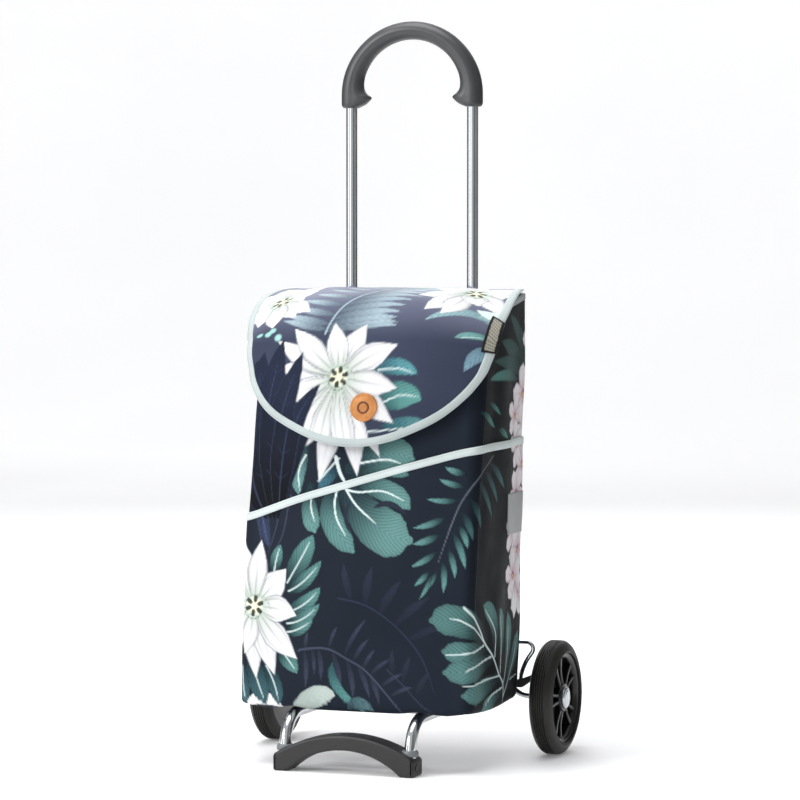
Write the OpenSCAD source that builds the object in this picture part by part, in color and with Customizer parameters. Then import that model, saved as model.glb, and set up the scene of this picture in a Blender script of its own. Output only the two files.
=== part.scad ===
// Two-wheeled shopping trolley: bent tube frame, arched grip, arched front foot,
// spoked wheels on a bent axle rod, and a lift-off fabric bag with a hinged flap.
// Millimetres. +Z up, -Y is the front (the side with the foot), X across.
// The origin is the middle of the footprint, on the floor.

/* [Frame] */
// Overall height, to the top of the grip
height = 1030; // [1000:5:1060]
// Distance between the centre lines of the two tubes
tube_spacing = 182; // [178:1:186]
// Outer diameter of the frame tubes
tube_d = 16; // [15:0.5:16]
// Wall of the frame tubes
tube_wall = 1.2; // [1:0.1:1.5]
// Centre line radius of the two bends in each tube
bend_r = 45; // [43:1:46]
// Height of the centre line of the run under the bag
run_z = 74; // [73:0.5:75]
// How far the foot's centre line stands in front of the upright tubes
foot_reach = 251; // [248:1:256]

/* [Grip] */
// Radius of the grip's section
grip_r = 13.5; // [12.5:0.5:14]
// Radius of the grip's two straight ends
grip_end_r = 14.5; // [14:0.5:15]

/* [Foot] */
// Width of the foot across X
foot_w = 204; // [202:1:208]
// Depth of the foot along Y
foot_d = 38; // [34:1:40]
// Height of the foot's top at its middle
foot_h = 56; // [52:1:57]
// Height of the clear space under the middle of the foot
foot_gap = 32; // [28:1:33]

/* [Wheels] */
// Wheel diameter over the tyre
wheel_d = 160; // [158:1:161]
// Tyre width
tyre_w = 35; // [32:1:35]
// Distance from the middle to the outer face of each tyre
track_half = 228.6; // [228:0.2:230]
// Axle rod diameter
axle_d = 8; // [8:0.5:8]
// How far the axle rod stands behind the centre line of the uprights
axle_back = 12.3; // [12.3:0.1:12.8]

/* [Bag] */
// Outer width of the bag
bag_w = 330; // [322:1:332]
// Height of the bag's floor above the ground
bag_z = 82.4; // [82.4:0.1:83]
// Thickness of the padded fabric
cloth = 2.5; // [2:0.1:2.6]
// Thickness of the flap
flap_t = 3; // [2.5:0.1:3]
// Width of the sewn binding
bind_w = 10; // [8:0.5:11]

/* [Hidden] */

$fn = 96;
tr = tube_d / 2;
tx = tube_spacing / 2;
wr = wheel_d / 2;
ar = axle_d / 2;
// The uprights' plane, set so that the footprint is centred on Y = 0
ty = (foot_reach + foot_d / 2 - axle_back - wr) / 2;
ay = ty + axle_back;
fy = ty - foot_reach;
split_z = run_z + bend_r;
grip_z = height - tx - grip_r;
grip_bottom = grip_z - 16.5;
tube_top = grip_z + 12;
bow_z = 155.5;
bow_r = 3;
bow_y = ty + tr + bow_r + 0.25;
bar_z = 124;
bw = bag_w / 2;
hinge_y = ty - 14;
hinge_z = 651;

chrome = [0.86, 0.87, 0.89];
plastic = [0.22, 0.22, 0.23];
rubber = [0.11, 0.11, 0.11];
navy = [0.13, 0.15, 0.22];
edging = [0.78, 0.82, 0.81];

// Maps a plane drawing (x, y) to (Y, Z), and its height to X
module in_yz() { rotate([90, 0, 90]) children(); }
// Maps a plane drawing (x, y) to (X, Z), and its height to -Y
module in_xz() { rotate([90, 0, 0]) children(); }
// A rod from a to b
module rod(a, b, r) {
    d = b - a;
    l = norm(d);
    translate(a) rotate([0, acos(d[2] / l), atan2(d[1], d[0])]) cylinder(h = l, r = r);
}
// A bent length of round bar about the drawing's Z, from angle a0 through sweep
module bend(radius, a0, sweep, r) {
    rotate([0, 0, a0]) rotate_extrude(angle = sweep) translate([radius, 0]) circle(r = r);
}
module both_sides() { children(); mirror([1, 0, 0]) children(); }

// ---- grip ----
// The inward pointing hook at the lower end of the grip
module grip_hook() {
    hull() {
        translate([tx, ty, grip_bottom + 6]) scale(1) sphere(r = 7, $fn = 32);
        translate([tx - 13, ty, grip_bottom + 5.5]) sphere(r = 6, $fn = 32);
        translate([tx - 27.5, ty, grip_bottom + 12]) sphere(r = 2.2, $fn = 24);
    }
}
module grip() {
    color(plastic) difference() {
        union() {
            translate([0, ty, grip_z]) in_xz() bend(tx, 0, 180, grip_r);
            for (s = [-1, 1]) translate([s * tx, ty, grip_bottom]) {
                translate([0, 0, 3]) cylinder(h = 13.6, r = grip_end_r);
                cylinder(h = 3, r1 = grip_end_r - 3, r2 = grip_end_r);
            }
            both_sides() grip_hook();
        }
        for (s = [-1, 1]) {
            translate([s * tx, ty, grip_bottom - 5]) cylinder(h = tube_top - grip_bottom + 5.2, r = tr + 0.05);
            translate([s * tx, ty, grip_z - 6]) rotate([-90, 0, 0]) cylinder(h = 30, r = 2.05);
            translate([s * tx, ty + 12.4, grip_z - 6]) rotate([-90, 0, 0]) cylinder(h = 10, r = 4.1);
        }
    }
}
module grip_screws() {
    color(chrome) for (s = [-1, 1]) translate([s * tx, ty, grip_z - 6]) rotate([-90, 0, 0]) {
        translate([0, 0, 5]) cylinder(h = 7.5, r = 2);
        translate([0, 0, 12.5]) cylinder(h = 1.8, r = 3.9);
    }
}

// ---- frame tubes ----
module upright(s) {
    color(chrome) translate([s * tx, ty, 0]) difference() {
        translate([0, 0, split_z]) cylinder(h = tube_top - split_z, r = tr);
        translate([0, 0, split_z - 1]) cylinder(h = tube_top - split_z + 2, r = tr - tube_wall);
        translate([0, 0, grip_z - 6]) rotate([-90, 0, 0]) cylinder(h = 20, r = 2.05);
    }
}
module upright_left() { upright(-1); }
module upright_right() { upright(1); }

module base_path(r, e) {
    translate([0, ty - bend_r, split_z]) in_yz() bend(bend_r, -90, 90, r);
    translate([0, fy + bend_r, run_z]) rotate([-90, 0, 0]) cylinder(h = foot_reach - 2 * bend_r, r = r);
    translate([0, fy + bend_r, run_z - bend_r]) in_yz() bend(bend_r, 90, 90, r);
    translate([0, fy, 5 - e]) cylinder(h = run_z - bend_r - 5 + e, r = r);
    if (e > 0) translate([0, ty, split_z]) cylinder(h = e, r = r);
}
module base_tube(s) {
    color(chrome) translate([s * tx, 0, 0]) difference() {
        base_path(tr, 0);
        base_path(tr - tube_wall, 1);
        translate([0, fy, 13]) rotate([-90, 0, 0]) cylinder(h = 20, r = 2.05);
    }
}
module base_tube_left() { base_tube(-1); }
module base_tube_right() { base_tube(1); }

// ---- foot ----
foot_top_r = (pow(foot_w / 2, 2) + pow(foot_h - 22.5, 2)) / (2 * (foot_h - 22.5));
foot_gap_r = (pow(foot_w / 2 - 20, 2) + pow(foot_gap, 2)) / (2 * foot_gap);
module round_rect(w, d, r) {
    square([w - 2 * r, d], center = true);
    square([w, d - 2 * r], center = true);
    for (i = [-1, 1], j = [-1, 1]) translate([i * (w / 2 - r), j * (d / 2 - r)]) circle(r = r);
}
module foot() {
    color(plastic) difference() {
        union() {
            intersection() {
                translate([0, fy, 0]) linear_extrude(foot_h + 2) round_rect(foot_w, foot_d, 6);
                translate([0, fy + foot_d, foot_h - foot_top_r]) in_xz() cylinder(h = 2 * foot_d, r = foot_top_r, $fn = 256);
            }
            for (s = [-1, 1]) translate([s * tx, fy, 10]) cylinder(h = 19, r = 10.8);
        }
        translate([0, fy + foot_d, foot_gap - foot_gap_r]) in_xz() cylinder(h = 2 * foot_d, r = foot_gap_r, $fn = 192);
        for (s = [-1, 1]) {
            translate([s * tx, fy, 5]) cylinder(h = 60, r = tr + 0.05);
            translate([s * tx, fy, 13]) rotate([-90, 0, 0]) cylinder(h = 30, r = 2.05);
            translate([s * tx, fy + foot_d / 2 - 1.4, 13]) rotate([-90, 0, 0]) cylinder(h = 10, r = 4.1);
        }
    }
}
module foot_screws() {
    color(chrome) for (s = [-1, 1]) translate([s * tx, fy, 13]) rotate([-90, 0, 0]) {
        translate([0, 0, 5]) cylinder(h = foot_d / 2 - 6.3, r = 2);
        translate([0, 0, foot_d / 2 - 1.3]) cylinder(h = 1.8, r = 3.9);
    }
}

// ---- cross rods ----
module tube_cut(r) { for (s = [-1, 1]) translate([s * tx, ty, 20]) cylinder(h = 900, r = r); }
// Rod that the bag's hooks drop over
module cross_rod() {
    color(chrome) difference() {
        rod([-tx, ty, 600], [tx, ty, 600], 3);
        tube_cut(tr);
    }
}
module base_cross(y) {
    color(chrome) difference() {
        rod([-tx, y, run_z + 4], [tx, y, run_z + 4], 3);
        for (s = [-1, 1]) translate([s * tx, fy, run_z]) rotate([-90, 0, 0]) cylinder(h = foot_reach, r = tr);
    }
}
module base_cross_front() { base_cross(fy + bend_r + 22); }
module base_cross_rear() { base_cross(ty - bend_r - 25); }

// ---- axle ----
axle_in = 172;
rise_r = 34;
top_r = 20;
// End of the rising straight, and start of the level bar
rise_x = axle_in - rise_r * sin(45);
rise_z = wr + rise_r * (1 - cos(45));
bar_x = rise_x - (bar_z - top_r * (1 - cos(45)) - rise_z) - top_r * sin(45);
// Points along an arc from angle a0 to a1, in steps of n
function arc_points(c, radius, a0, a1, n) = [for (i = [0:n]) c + radius * [cos(a0 + (a1 - a0) * i / n), sin(a0 + (a1 - a0) * i / n)]];
function mirrored(l) = [for (i = [len(l) - 1:-1:1]) [-l[i][0], l[i][1]]];
// Round bar that follows a line drawn in X and Z, at one Y
module bent_bar(l, y, r, sides) {
    n = len(l);
    function tangent(i) = let (d = l[min(i + 1, n - 1)] - l[max(i - 1, 0)]) d / norm(d);
    polyhedron(
        points = [for (i = [0:n - 1]) let (t = tangent(i)) for (k = [0:sides - 1]) let (a = 360 * k / sides)
            [l[i][0] - t[1] * r * cos(a), y + r * sin(a), l[i][1] + t[0] * r * cos(a)]],
        faces = concat([[for (k = [0:sides - 1]) k]],
            [for (i = [0:n - 2], k = [0:sides - 1]) let (m = (k + 1) % sides) [i * sides + k, (i + 1) * sides + k, (i + 1) * sides + m, i * sides + m]],
            [[for (k = [sides - 1:-1:0]) (n - 1) * sides + k]]));
}
bar_half = concat([[0, bar_z]], arc_points([bar_x, bar_z - top_r], top_r, 90, 45, 4), arc_points([axle_in, wr + rise_r], rise_r, -135, -90, 7));
module axle_bow() { color(chrome) bent_bar(concat(mirrored(bar_half), bar_half), ay, ar, 20); }
module axle_stub(s) { color(chrome) translate([s > 0 ? axle_in : -224, ay, wr]) rotate([0, 90, 0]) cylinder(h = 224 - axle_in, r = ar); }
module axle_left() { axle_stub(-1); }
module axle_right() { axle_stub(1); }
// Wire bow above the axle: level bar, tight corner, then a long curve down
corner_r = 9;
corner_x = 169;
long_r = 81;
long_cx = corner_x + corner_r * cos(39) + long_r * cos(39);
long_cz = bow_z - corner_r - corner_r * sin(39) - long_r * sin(39);
bow_end_x = long_cx - long_r * cos(5);
bow_end_z = long_cz + long_r * sin(5);
bow_half = concat([[0, bow_z]], arc_points([corner_x, bow_z - corner_r], corner_r, 90, -39, 12), [for (p = arc_points([long_cx, long_cz], long_r, 141, 175, 8)) if (p[0] < corner_x + 5) p]);
module upper_bow() { color(chrome) bent_bar(concat(mirrored(bow_half), bow_half), bow_y, bow_r, 16); }
// Plastic clamp that ties the bow's end to the axle beside the wheel
module axle_clamp() {
    color(plastic) difference() {
        union() {
            translate([182, ay - 8, 0]) {
                translate([-6, 0, wr - 8]) cube([12, 16, 38]);
                translate([-6, 8, wr]) rotate([0, 90, 0]) cylinder(h = 12, r = 10);
            }
            translate([0, ay + 6, 0]) in_xz() linear_extrude(12)
                polygon([[bow_end_x - 5.5, bow_end_z - 5], [bow_end_x + 4, bow_end_z - 5],
                    [176.5, wr + 22], [176.5, wr + 30], [bow_end_x + 5.5, bow_end_z + 8], [bow_end_x - 5.5, bow_end_z + 5]]);
        }
        rod([150, ay, wr], [200, ay, wr], ar + 0.05);
        translate([bow_end_x, bow_y, bow_end_z]) rotate([0, 5, 0]) translate([0, 0, -0.2]) cylinder(h = 20, r = bow_r + 0.05);
    }
}
module axle_clamp_right() { axle_clamp(); }
module axle_clamp_left() { mirror([1, 0, 0]) axle_clamp(); }
module ring(x, w, ro, ri) {
    translate([x, ay, wr]) rotate([0, 90, 0]) difference() {
        cylinder(h = w, r = ro);
        translate([0, 0, -1]) cylinder(h = w + 2, r = ri);
    }
}
module axle_washers() { color(chrome) both_sides() ring(188.2, 1.5, 9, ar + 0.05); }
module push_nuts() { color(chrome) both_sides() ring(219.5, 1.4, 7.4, ar + 0.05); }

// ---- wheels ----
// Profiles are drawn as (radius, distance from the wheel's middle plane)
hw = tyre_w / 2;
module about_axle() { translate([track_half - hw, ay, wr]) rotate([0, 90, 0]) children(); }
module tyre() {
    color(rubber) about_axle() rotate_extrude() polygon([[63, -hw + 3], [66, -hw], [71, -hw], [wr - 4, -hw + 3.5],
        [wr - 1, -hw + 8], [wr, -hw + 13], [wr, hw - 13], [wr - 1, hw - 8], [wr - 4, hw - 3.5], [71, hw], [66, hw], [63, hw - 3]]);
}
module rim() {
    color(plastic) about_axle() {
        union() {
            rotate_extrude() polygon([[55.5, -13], [62.9, -13], [62.9, 14], [55.5, 14]]);
            rotate_extrude() polygon([[8.05, -20], [13.5, -20], [13.5, 7.7], [20, 7.7], [20, 14], [8.05, 14]]);
            for (i = [0:4], s = [-1, 1]) rotate([0, 0, i * 72 + 36]) translate([s * 5, 0, 5]) rotate([0, 0, -s * 9])
                translate([-3, 15.2, 0]) cube([6, 43.4, 7.3]);
        }
    }
}
module bushes() {
    color(edging) about_axle() for (z = [-20, 1.5]) difference() {
        union() {
            translate([0, 0, z]) cylinder(h = 6, r = 8);
            if (z < 0) translate([0, 0, z - 1.2]) cylinder(h = 1.2, r = 10.5);
        }
        translate([0, 0, -40]) cylinder(h = 80, r = ar + 0.05);
    }
}
module cap() {
    color(edging) about_axle() {
        translate([0, 0, 14.01]) cylinder(h = 3, r = 15.5);
        translate([0, 0, 17.01]) cylinder(h = 1.3, r1 = 15.5, r2 = 12);
    }
}
module tyre_right() { tyre(); }
module tyre_left() { mirror([1, 0, 0]) tyre(); }
module rim_right() { rim(); }
module rim_left() { mirror([1, 0, 0]) rim(); }
module bushes_right() { bushes(); }
module bushes_left() { mirror([1, 0, 0]) bushes(); }
module cap_right() { cap(); }
module cap_left() { mirror([1, 0, 0]) cap(); }

// ---- bag ----
// Side outline of the bag as (distance behind the uprights' plane, height), front edge from the floor up
bag_front_line = [[-227, bag_z], [-226, 100], [-223, 170], [-219, 253], [-208, 335], [-195, 418], [-184, 500], [-178, 560], [-177, 606]];
bag_top_line = [[-166, 624], [-146, 636], [-120, 642], [-12, 645]];
bag_back_line = [[-9.6, 645], [-9.6, 119], [-14.5, 106], [-24, 93], [-36, 85.5], [-48, bag_z]];
function shift(l, d) = [for (p = l) p + d];
function at_y(l) = [for (p = l) [p[0] + ty, p[1]]];
function back(l) = [for (i = [len(l) - 1:-1:0]) l[i]];
module slab(points, x0, x1) { translate([x0, 0, 0]) in_yz() linear_extrude(x1 - x0) polygon(at_y(points)); }

module bag_front() { color(navy) slab(concat(bag_front_line, back(shift(bag_front_line, [cloth, 0]))), -bw + cloth, bw - cloth); }
module bag_side(s) {
    x0 = s > 0 ? bw - cloth : -bw;
    color(navy) slab(concat(bag_front_line, bag_top_line, bag_back_line), x0, x0 + cloth);
}
module bag_side_left() { bag_side(-1); }
module bag_side_right() { bag_side(1); }
module bag_back() { color(navy) slab([[-9.6, 645], [-9.6, 119], [-9.6 - cloth, 119], [-9.6 - cloth, 645]], -bw + cloth, bw - cloth); }
module bag_bottom() {
    color(navy) slab([[-227 + cloth, bag_z], [-48, bag_z], [-36, 85.5], [-24, 93], [-14.5, 106], [-9.6, 119], [-12.1, 119],
        [-17, 107.5], [-26, 95.5], [-37.5, 88.3], [-48.5, bag_z + cloth], [-226.85 + cloth, bag_z + cloth]], -bw + cloth, bw - cloth);
}
module base_board() { color(plastic) slab([[-220, bag_z + 3], [-50, bag_z + 3], [-50, bag_z + 6], [-220, bag_z + 6]], -bw + 8, bw - 8); }

// Sloping top edge of the front pocket, left and right
pocket_l = 343;
pocket_r = 441;
module above_pocket(d) {
    translate([0, ty - 150, 0]) in_xz() linear_extrude(150)
        polygon([[-bw - 5, pocket_l + d], [bw + 5, pocket_r + d], [bw + 5, 700], [-bw - 5, 700]]);
}
module below_pocket(d) {
    translate([0, ty - 150, 0]) in_xz() linear_extrude(150)
        polygon([[-bw - 5, pocket_l + d], [bw + 5, pocket_r + d], [bw + 5, 0], [-bw - 5, 0]]);
}
module front_skin(d0, d1) { slab(concat(shift(bag_front_line, [-d0, 0]), back(shift(bag_front_line, [-d1, 0]))), -bw, bw); }
module front_pocket() {
    color(navy) intersection() {
        front_skin(2.2, 0);
        below_pocket(0);
    }
}
module pocket_binding() {
    color(edging) {
        intersection() {
            front_skin(3.4, 2.2);
            below_pocket(bind_w / 2 - 2);
            above_pocket(-bind_w / 2 - 2);
        }
        slab([[-198, pocket_r - 5], [-12, pocket_r - 1], [-12, pocket_r + 8], [-198, pocket_r + 5]], bw, bw + 1.1);
        slab([[-206, pocket_l - 5], [-12, pocket_l - 1], [-12, pocket_l + 8], [-206, pocket_l + 5]], -bw - 1.1, -bw);
    }
}
module side_patch() { color([0.62, 0.63, 0.63]) slab([[-88, 315], [-14, 315], [-14, 372], [-88, 372]], bw, bw + 0.8); }
// Hooks on the bag's back that drop over the cross rod
module bag_hooks() {
    color(plastic) for (x = [-45, 45])
        slab([[-9.6, 566], [-4.6, 566], [-4.6, 604.6], [4.6, 604.6], [4.6, 590], [7.6, 590], [7.6, 609], [-9.6, 609]], x - 11, x + 11);
}

// ---- flap ----
// Side outline of the flap's outer face, from its hinge to its hem
flap_line = [[-13, 652.5], [-60, 655], [-105, 654], [-138, 649.5], [-163, 640.5], [-184, 624], [-197, 603], [-205, 575],
    [-207, 545], [-204, 505], [-201.5, 470], [-201, 436]];
// Inner face, one point under each of the outer face's points
flap_inner = [[-13, 649.5], [-60, 652], [-105, 651], [-137, 646.6], [-161.3, 638], [-181.6, 622], [-194.2, 601.8], [-202, 574.4],
    [-204, 545], [-201, 505], [-198.5, 470], [-198, 436]];
// Outer face moved outward for the binding
flap_proud = [[-13, 653.7], [-60, 656.2], [-105, 655.2], [-138.4, 650.7], [-163.7, 641.6], [-185, 624.8], [-198.1, 603.5], [-206.2, 575.2],
    [-208.2, 545], [-205.2, 505], [-202.7, 470], [-202.2, 436]];
fx = bw + 1.5;
fxo = fx + flap_t;
hem_r = 212;
// Lower edge of the flap's side, from the hinge down to the front corner
wing_line = [[-13, 647], [-58, 624], [-93, 598], [-127, 561], [-178, 527], [-215, 522]];
module hem(r) { translate([0, ty - 120, 653]) in_xz() cylinder(h = 200, r = r, $fn = 192); }
module flap() {
    color(navy) {
        intersection() {
            slab(concat(flap_line, back(flap_inner)), -fx, fx);
            union() {
                hem(hem_r);
                translate([-200, ty - 130, 500]) cube([400, 140, 200]);
            }
        }
        for (x = [-fxo, fx]) slab(concat([for (i = [0:9]) flap_line[i]], [[-203, 524]], back(wing_line_clip)), x, x + flap_t);
    }
}
wing_line_clip = [for (i = [0:4]) wing_line[i]];
module flap_binding() {
    color(edging) {
        intersection() {
            slab(concat(flap_proud, back(flap_line)), -fx, fx);
            difference() { hem(hem_r); hem(hem_r - bind_w); }
            translate([-200, ty - 300, 400]) cube([400, 180, 127]);
        }
        for (x = [-fxo - 1.1, fxo]) slab(concat(wing_line_clip, back(shift(wing_line_clip, [-3, 9]))), x, x + 1.1);
    }
}
module badge() {
    color([0.72, 0.47, 0.22]) translate([5, ty - 206.6, 495]) rotate([92, 0, 0]) cylinder(h = 2.4, r = 19.5);
}
// Plain woven tab sewn over the binding on the right
module side_tab() {
    color(rubber) slab([[-113, 578], [-100, 587], [-122, 619], [-135, 610]], fxo + 1.2, fxo + 2.4);
}

grip();
grip_screws();
upright_left();
upright_right();
base_tube_left();
base_tube_right();
foot();
foot_screws();
cross_rod();
base_cross_front();
base_cross_rear();
axle_bow();
axle_left();
axle_right();
upper_bow();
axle_clamp_left();
axle_clamp_right();
axle_washers();
push_nuts();
tyre_left();
rim_left();
bushes_left();
cap_left();
tyre_right();
rim_right();
bushes_right();
cap_right();
bag_front();
bag_back();
bag_side_left();
bag_side_right();
bag_bottom();
base_board();
front_pocket();
pocket_binding();
side_patch();
bag_hooks();
flap();
flap_binding();
badge();
side_tab();
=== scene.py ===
import math
import numpy as np
import bpy
import bmesh
from mathutils import Vector, Matrix


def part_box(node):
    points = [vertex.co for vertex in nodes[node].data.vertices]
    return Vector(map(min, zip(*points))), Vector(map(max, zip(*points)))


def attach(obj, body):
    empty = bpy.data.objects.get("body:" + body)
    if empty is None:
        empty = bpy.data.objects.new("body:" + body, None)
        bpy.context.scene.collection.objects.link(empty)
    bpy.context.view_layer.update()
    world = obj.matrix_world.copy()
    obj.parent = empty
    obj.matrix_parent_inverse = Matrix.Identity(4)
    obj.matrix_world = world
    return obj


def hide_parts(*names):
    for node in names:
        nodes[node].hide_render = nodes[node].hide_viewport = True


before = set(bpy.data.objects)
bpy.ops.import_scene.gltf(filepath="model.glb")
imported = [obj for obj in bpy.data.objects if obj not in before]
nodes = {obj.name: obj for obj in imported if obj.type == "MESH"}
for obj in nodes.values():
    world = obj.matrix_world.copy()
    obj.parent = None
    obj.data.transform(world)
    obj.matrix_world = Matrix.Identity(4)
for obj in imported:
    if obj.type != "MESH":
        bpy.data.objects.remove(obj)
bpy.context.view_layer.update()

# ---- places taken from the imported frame, in mm ----
_lo, _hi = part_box("upright_left")
TX = -(_lo.x + _hi.x) * 500
TY = (_lo.y + _hi.y) * 500
_lo, _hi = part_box("axle_left")
AY, AZ = (_lo.y + _hi.y) * 500, (_lo.z + _hi.z) * 500
FLO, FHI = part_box("foot")
FY = (FLO.y + FHI.y) * 500
GLO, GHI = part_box("grip")
TLO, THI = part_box("tyre_right")

# ---- camera ----
cam_data = bpy.data.cameras.new("camera")
cam_data.lens = 156.6
cam_data.sensor_width = 36
cam = bpy.data.objects.new("camera", cam_data)
bpy.context.scene.collection.objects.link(cam)
cam.location = (1.71718, TY / 1000 - 4.61859, 0.72975)
aim = Vector((-0.01791, TY / 1000, 0.49449))
cam.rotation_euler = (aim - cam.location).to_track_quat("-Z", "Y").to_euler()
bpy.context.scene.camera = cam


# ---------------------------------------------------------------- colours
def lin(h):
    v = [int(h[i:i + 2], 16) / 255 for i in (0, 2, 4)]
    return np.array([x / 12.92 if x <= 0.04045 else ((x + 0.055) / 1.055) ** 2.4 for x in v])


def sock(n, *names):
    for k in names:
        if k in n.inputs:
            return n.inputs[k]
    raise KeyError(names)


class Nodes:
    def __init__(self, name):
        self.m = bpy.data.materials.new(name)
        self.m.use_nodes = True
        self.nt = self.m.node_tree
        self.b = self.nt.nodes["Principled BSDF"]

    def add(self, kind, **kw):
        n = self.nt.nodes.new("ShaderNode" + kind)
        for k, v in kw.items():
            setattr(n, k, v)
        return n

    def link(self, a, b):
        self.nt.links.new(a, b)

    def math(self, op, a, b=None, clamp=False):
        n = self.add("Math", operation=op, use_clamp=clamp)
        for i, x in enumerate((a, b)):
            if x is None:
                continue
            if isinstance(x, (int, float)):
                n.inputs[i].default_value = x
            else:
                self.link(x, n.inputs[i])
        return n.outputs[0]

    def noise(self, scale, detail=3, vec=None, rough=0.55):
        n = self.add("TexNoise")
        n.inputs["Scale"].default_value = scale
        n.inputs["Detail"].default_value = detail
        n.inputs["Roughness"].default_value = rough
        if vec is None:
            vec = self.add("TexCoord").outputs["Object"]
        self.link(vec, n.inputs["Vector"])
        return n.outputs[0]

    def ramp(self, fac, a, b, lo=0.3, hi=0.7):
        n = self.add("ValToRGB")
        n.color_ramp.elements[0].position = lo
        n.color_ramp.elements[1].position = hi
        n.color_ramp.elements[0].color = (*a, 1)
        n.color_ramp.elements[1].color = (*b, 1)
        self.link(fac, n.inputs[0])
        return n.outputs[0]

    def range(self, fac, a, b, lo=0.25, hi=0.75):
        n = self.add("MapRange")
        n.inputs[1].default_value, n.inputs[2].default_value = lo, hi
        n.inputs[3].default_value, n.inputs[4].default_value = a, b
        self.link(fac, n.inputs[0])
        return n.outputs[0]

    def bump(self, height, strength, dist, normal=None):
        n = self.add("Bump")
        n.inputs["Strength"].default_value = strength
        n.inputs["Distance"].default_value = dist
        self.link(height, n.inputs["Height"])
        if normal is not None:
            self.link(normal, n.inputs["Normal"])
        return n.outputs[0]

    def set(self, **kw):
        for k, v in kw.items():
            self.b.inputs[k.replace("_", " ")].default_value = v


def plastic(name, col, rough=0.45, var=0.15, vscale=30, grain=0.25, gscale=1400, gdist=0.0003, metal=0.0, rvar=0.06, coat=0.0, spec=0.5, scuff=0.0):
    k = Nodes(name)
    c = lin(col)
    n1 = k.noise(vscale, 4)
    colour = k.ramp(n1, c * (1 - var), np.minimum(c * (1 + var), 1))
    if scuff:
        sc = k.noise(9, 6, rough=0.75)
        mask = k.range(sc, 0, scuff, 0.58, 0.75)
        mix = k.add("Mix", data_type="RGBA")
        k.link(mask, mix.inputs[0])
        k.link(colour, mix.inputs[6])
        mix.inputs[7].default_value = (*np.minimum(c * 1.8 + 0.02, 1), 1)
        colour = mix.outputs[2]
    k.link(colour, k.b.inputs["Base Color"])
    k.link(k.range(k.noise(vscale * 0.7, 3), rough - rvar, rough + rvar), k.b.inputs["Roughness"])
    if grain:
        k.link(k.bump(k.noise(gscale, 2), grain, gdist), k.b.inputs["Normal"])
    k.set(Metallic=metal, Coat_Weight=coat, Specular_IOR_Level=spec)
    return k.m


M = {}
M["chrome"] = plastic("chrome", "d9dcde", 0.08, 0.03, 12, 0.03, 260, 0.0004, metal=1.0, rvar=0.04)
M["zinc"] = plastic("zinc_plate", "b9bcc0", 0.33, 0.08, 60, 0.1, 900, 0.0002, metal=1.0, rvar=0.08)
M["grip"] = plastic("grip_plastic", "37383a", 0.4, 0.06, 24, 0.16, 1800, 0.0003, rvar=0.05, spec=0.55)
M["black"] = plastic("black_plastic", "1c1c1d", 0.46, 0.12, 40, 0.45, 900, 0.0005, rvar=0.07, scuff=0.25)
M["grey"] = plastic("grey_collar", "6f7275", 0.42, 0.08, 40, 0.2, 1400, 0.0003)
M["tyre"] = plastic("tyre_rubber", "1c1b18", 0.47, 0.18, 35, 0.3, 700, 0.0004, rvar=0.08, scuff=0.1, spec=0.4)
M["rim"] = plastic("rim_plastic", "0e0f10", 0.3, 0.1, 30, 0.05, 300, 0.0005, rvar=0.05, coat=0.1, spec=0.4)
M["cap"] = plastic("cap_silver", "c4c8cc", 0.24, 0.05, 40, 0.05, 900, 0.0002, metal=0.9)
M["bush"] = plastic("bush_plastic", "3a3b3d", 0.4, 0.08, 60, 0.1, 900, 0.0002)
M["board"] = plastic("base_board", "1b1c1f", 0.6, 0.15, 30, 0.5, 500, 0.0006)


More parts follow.
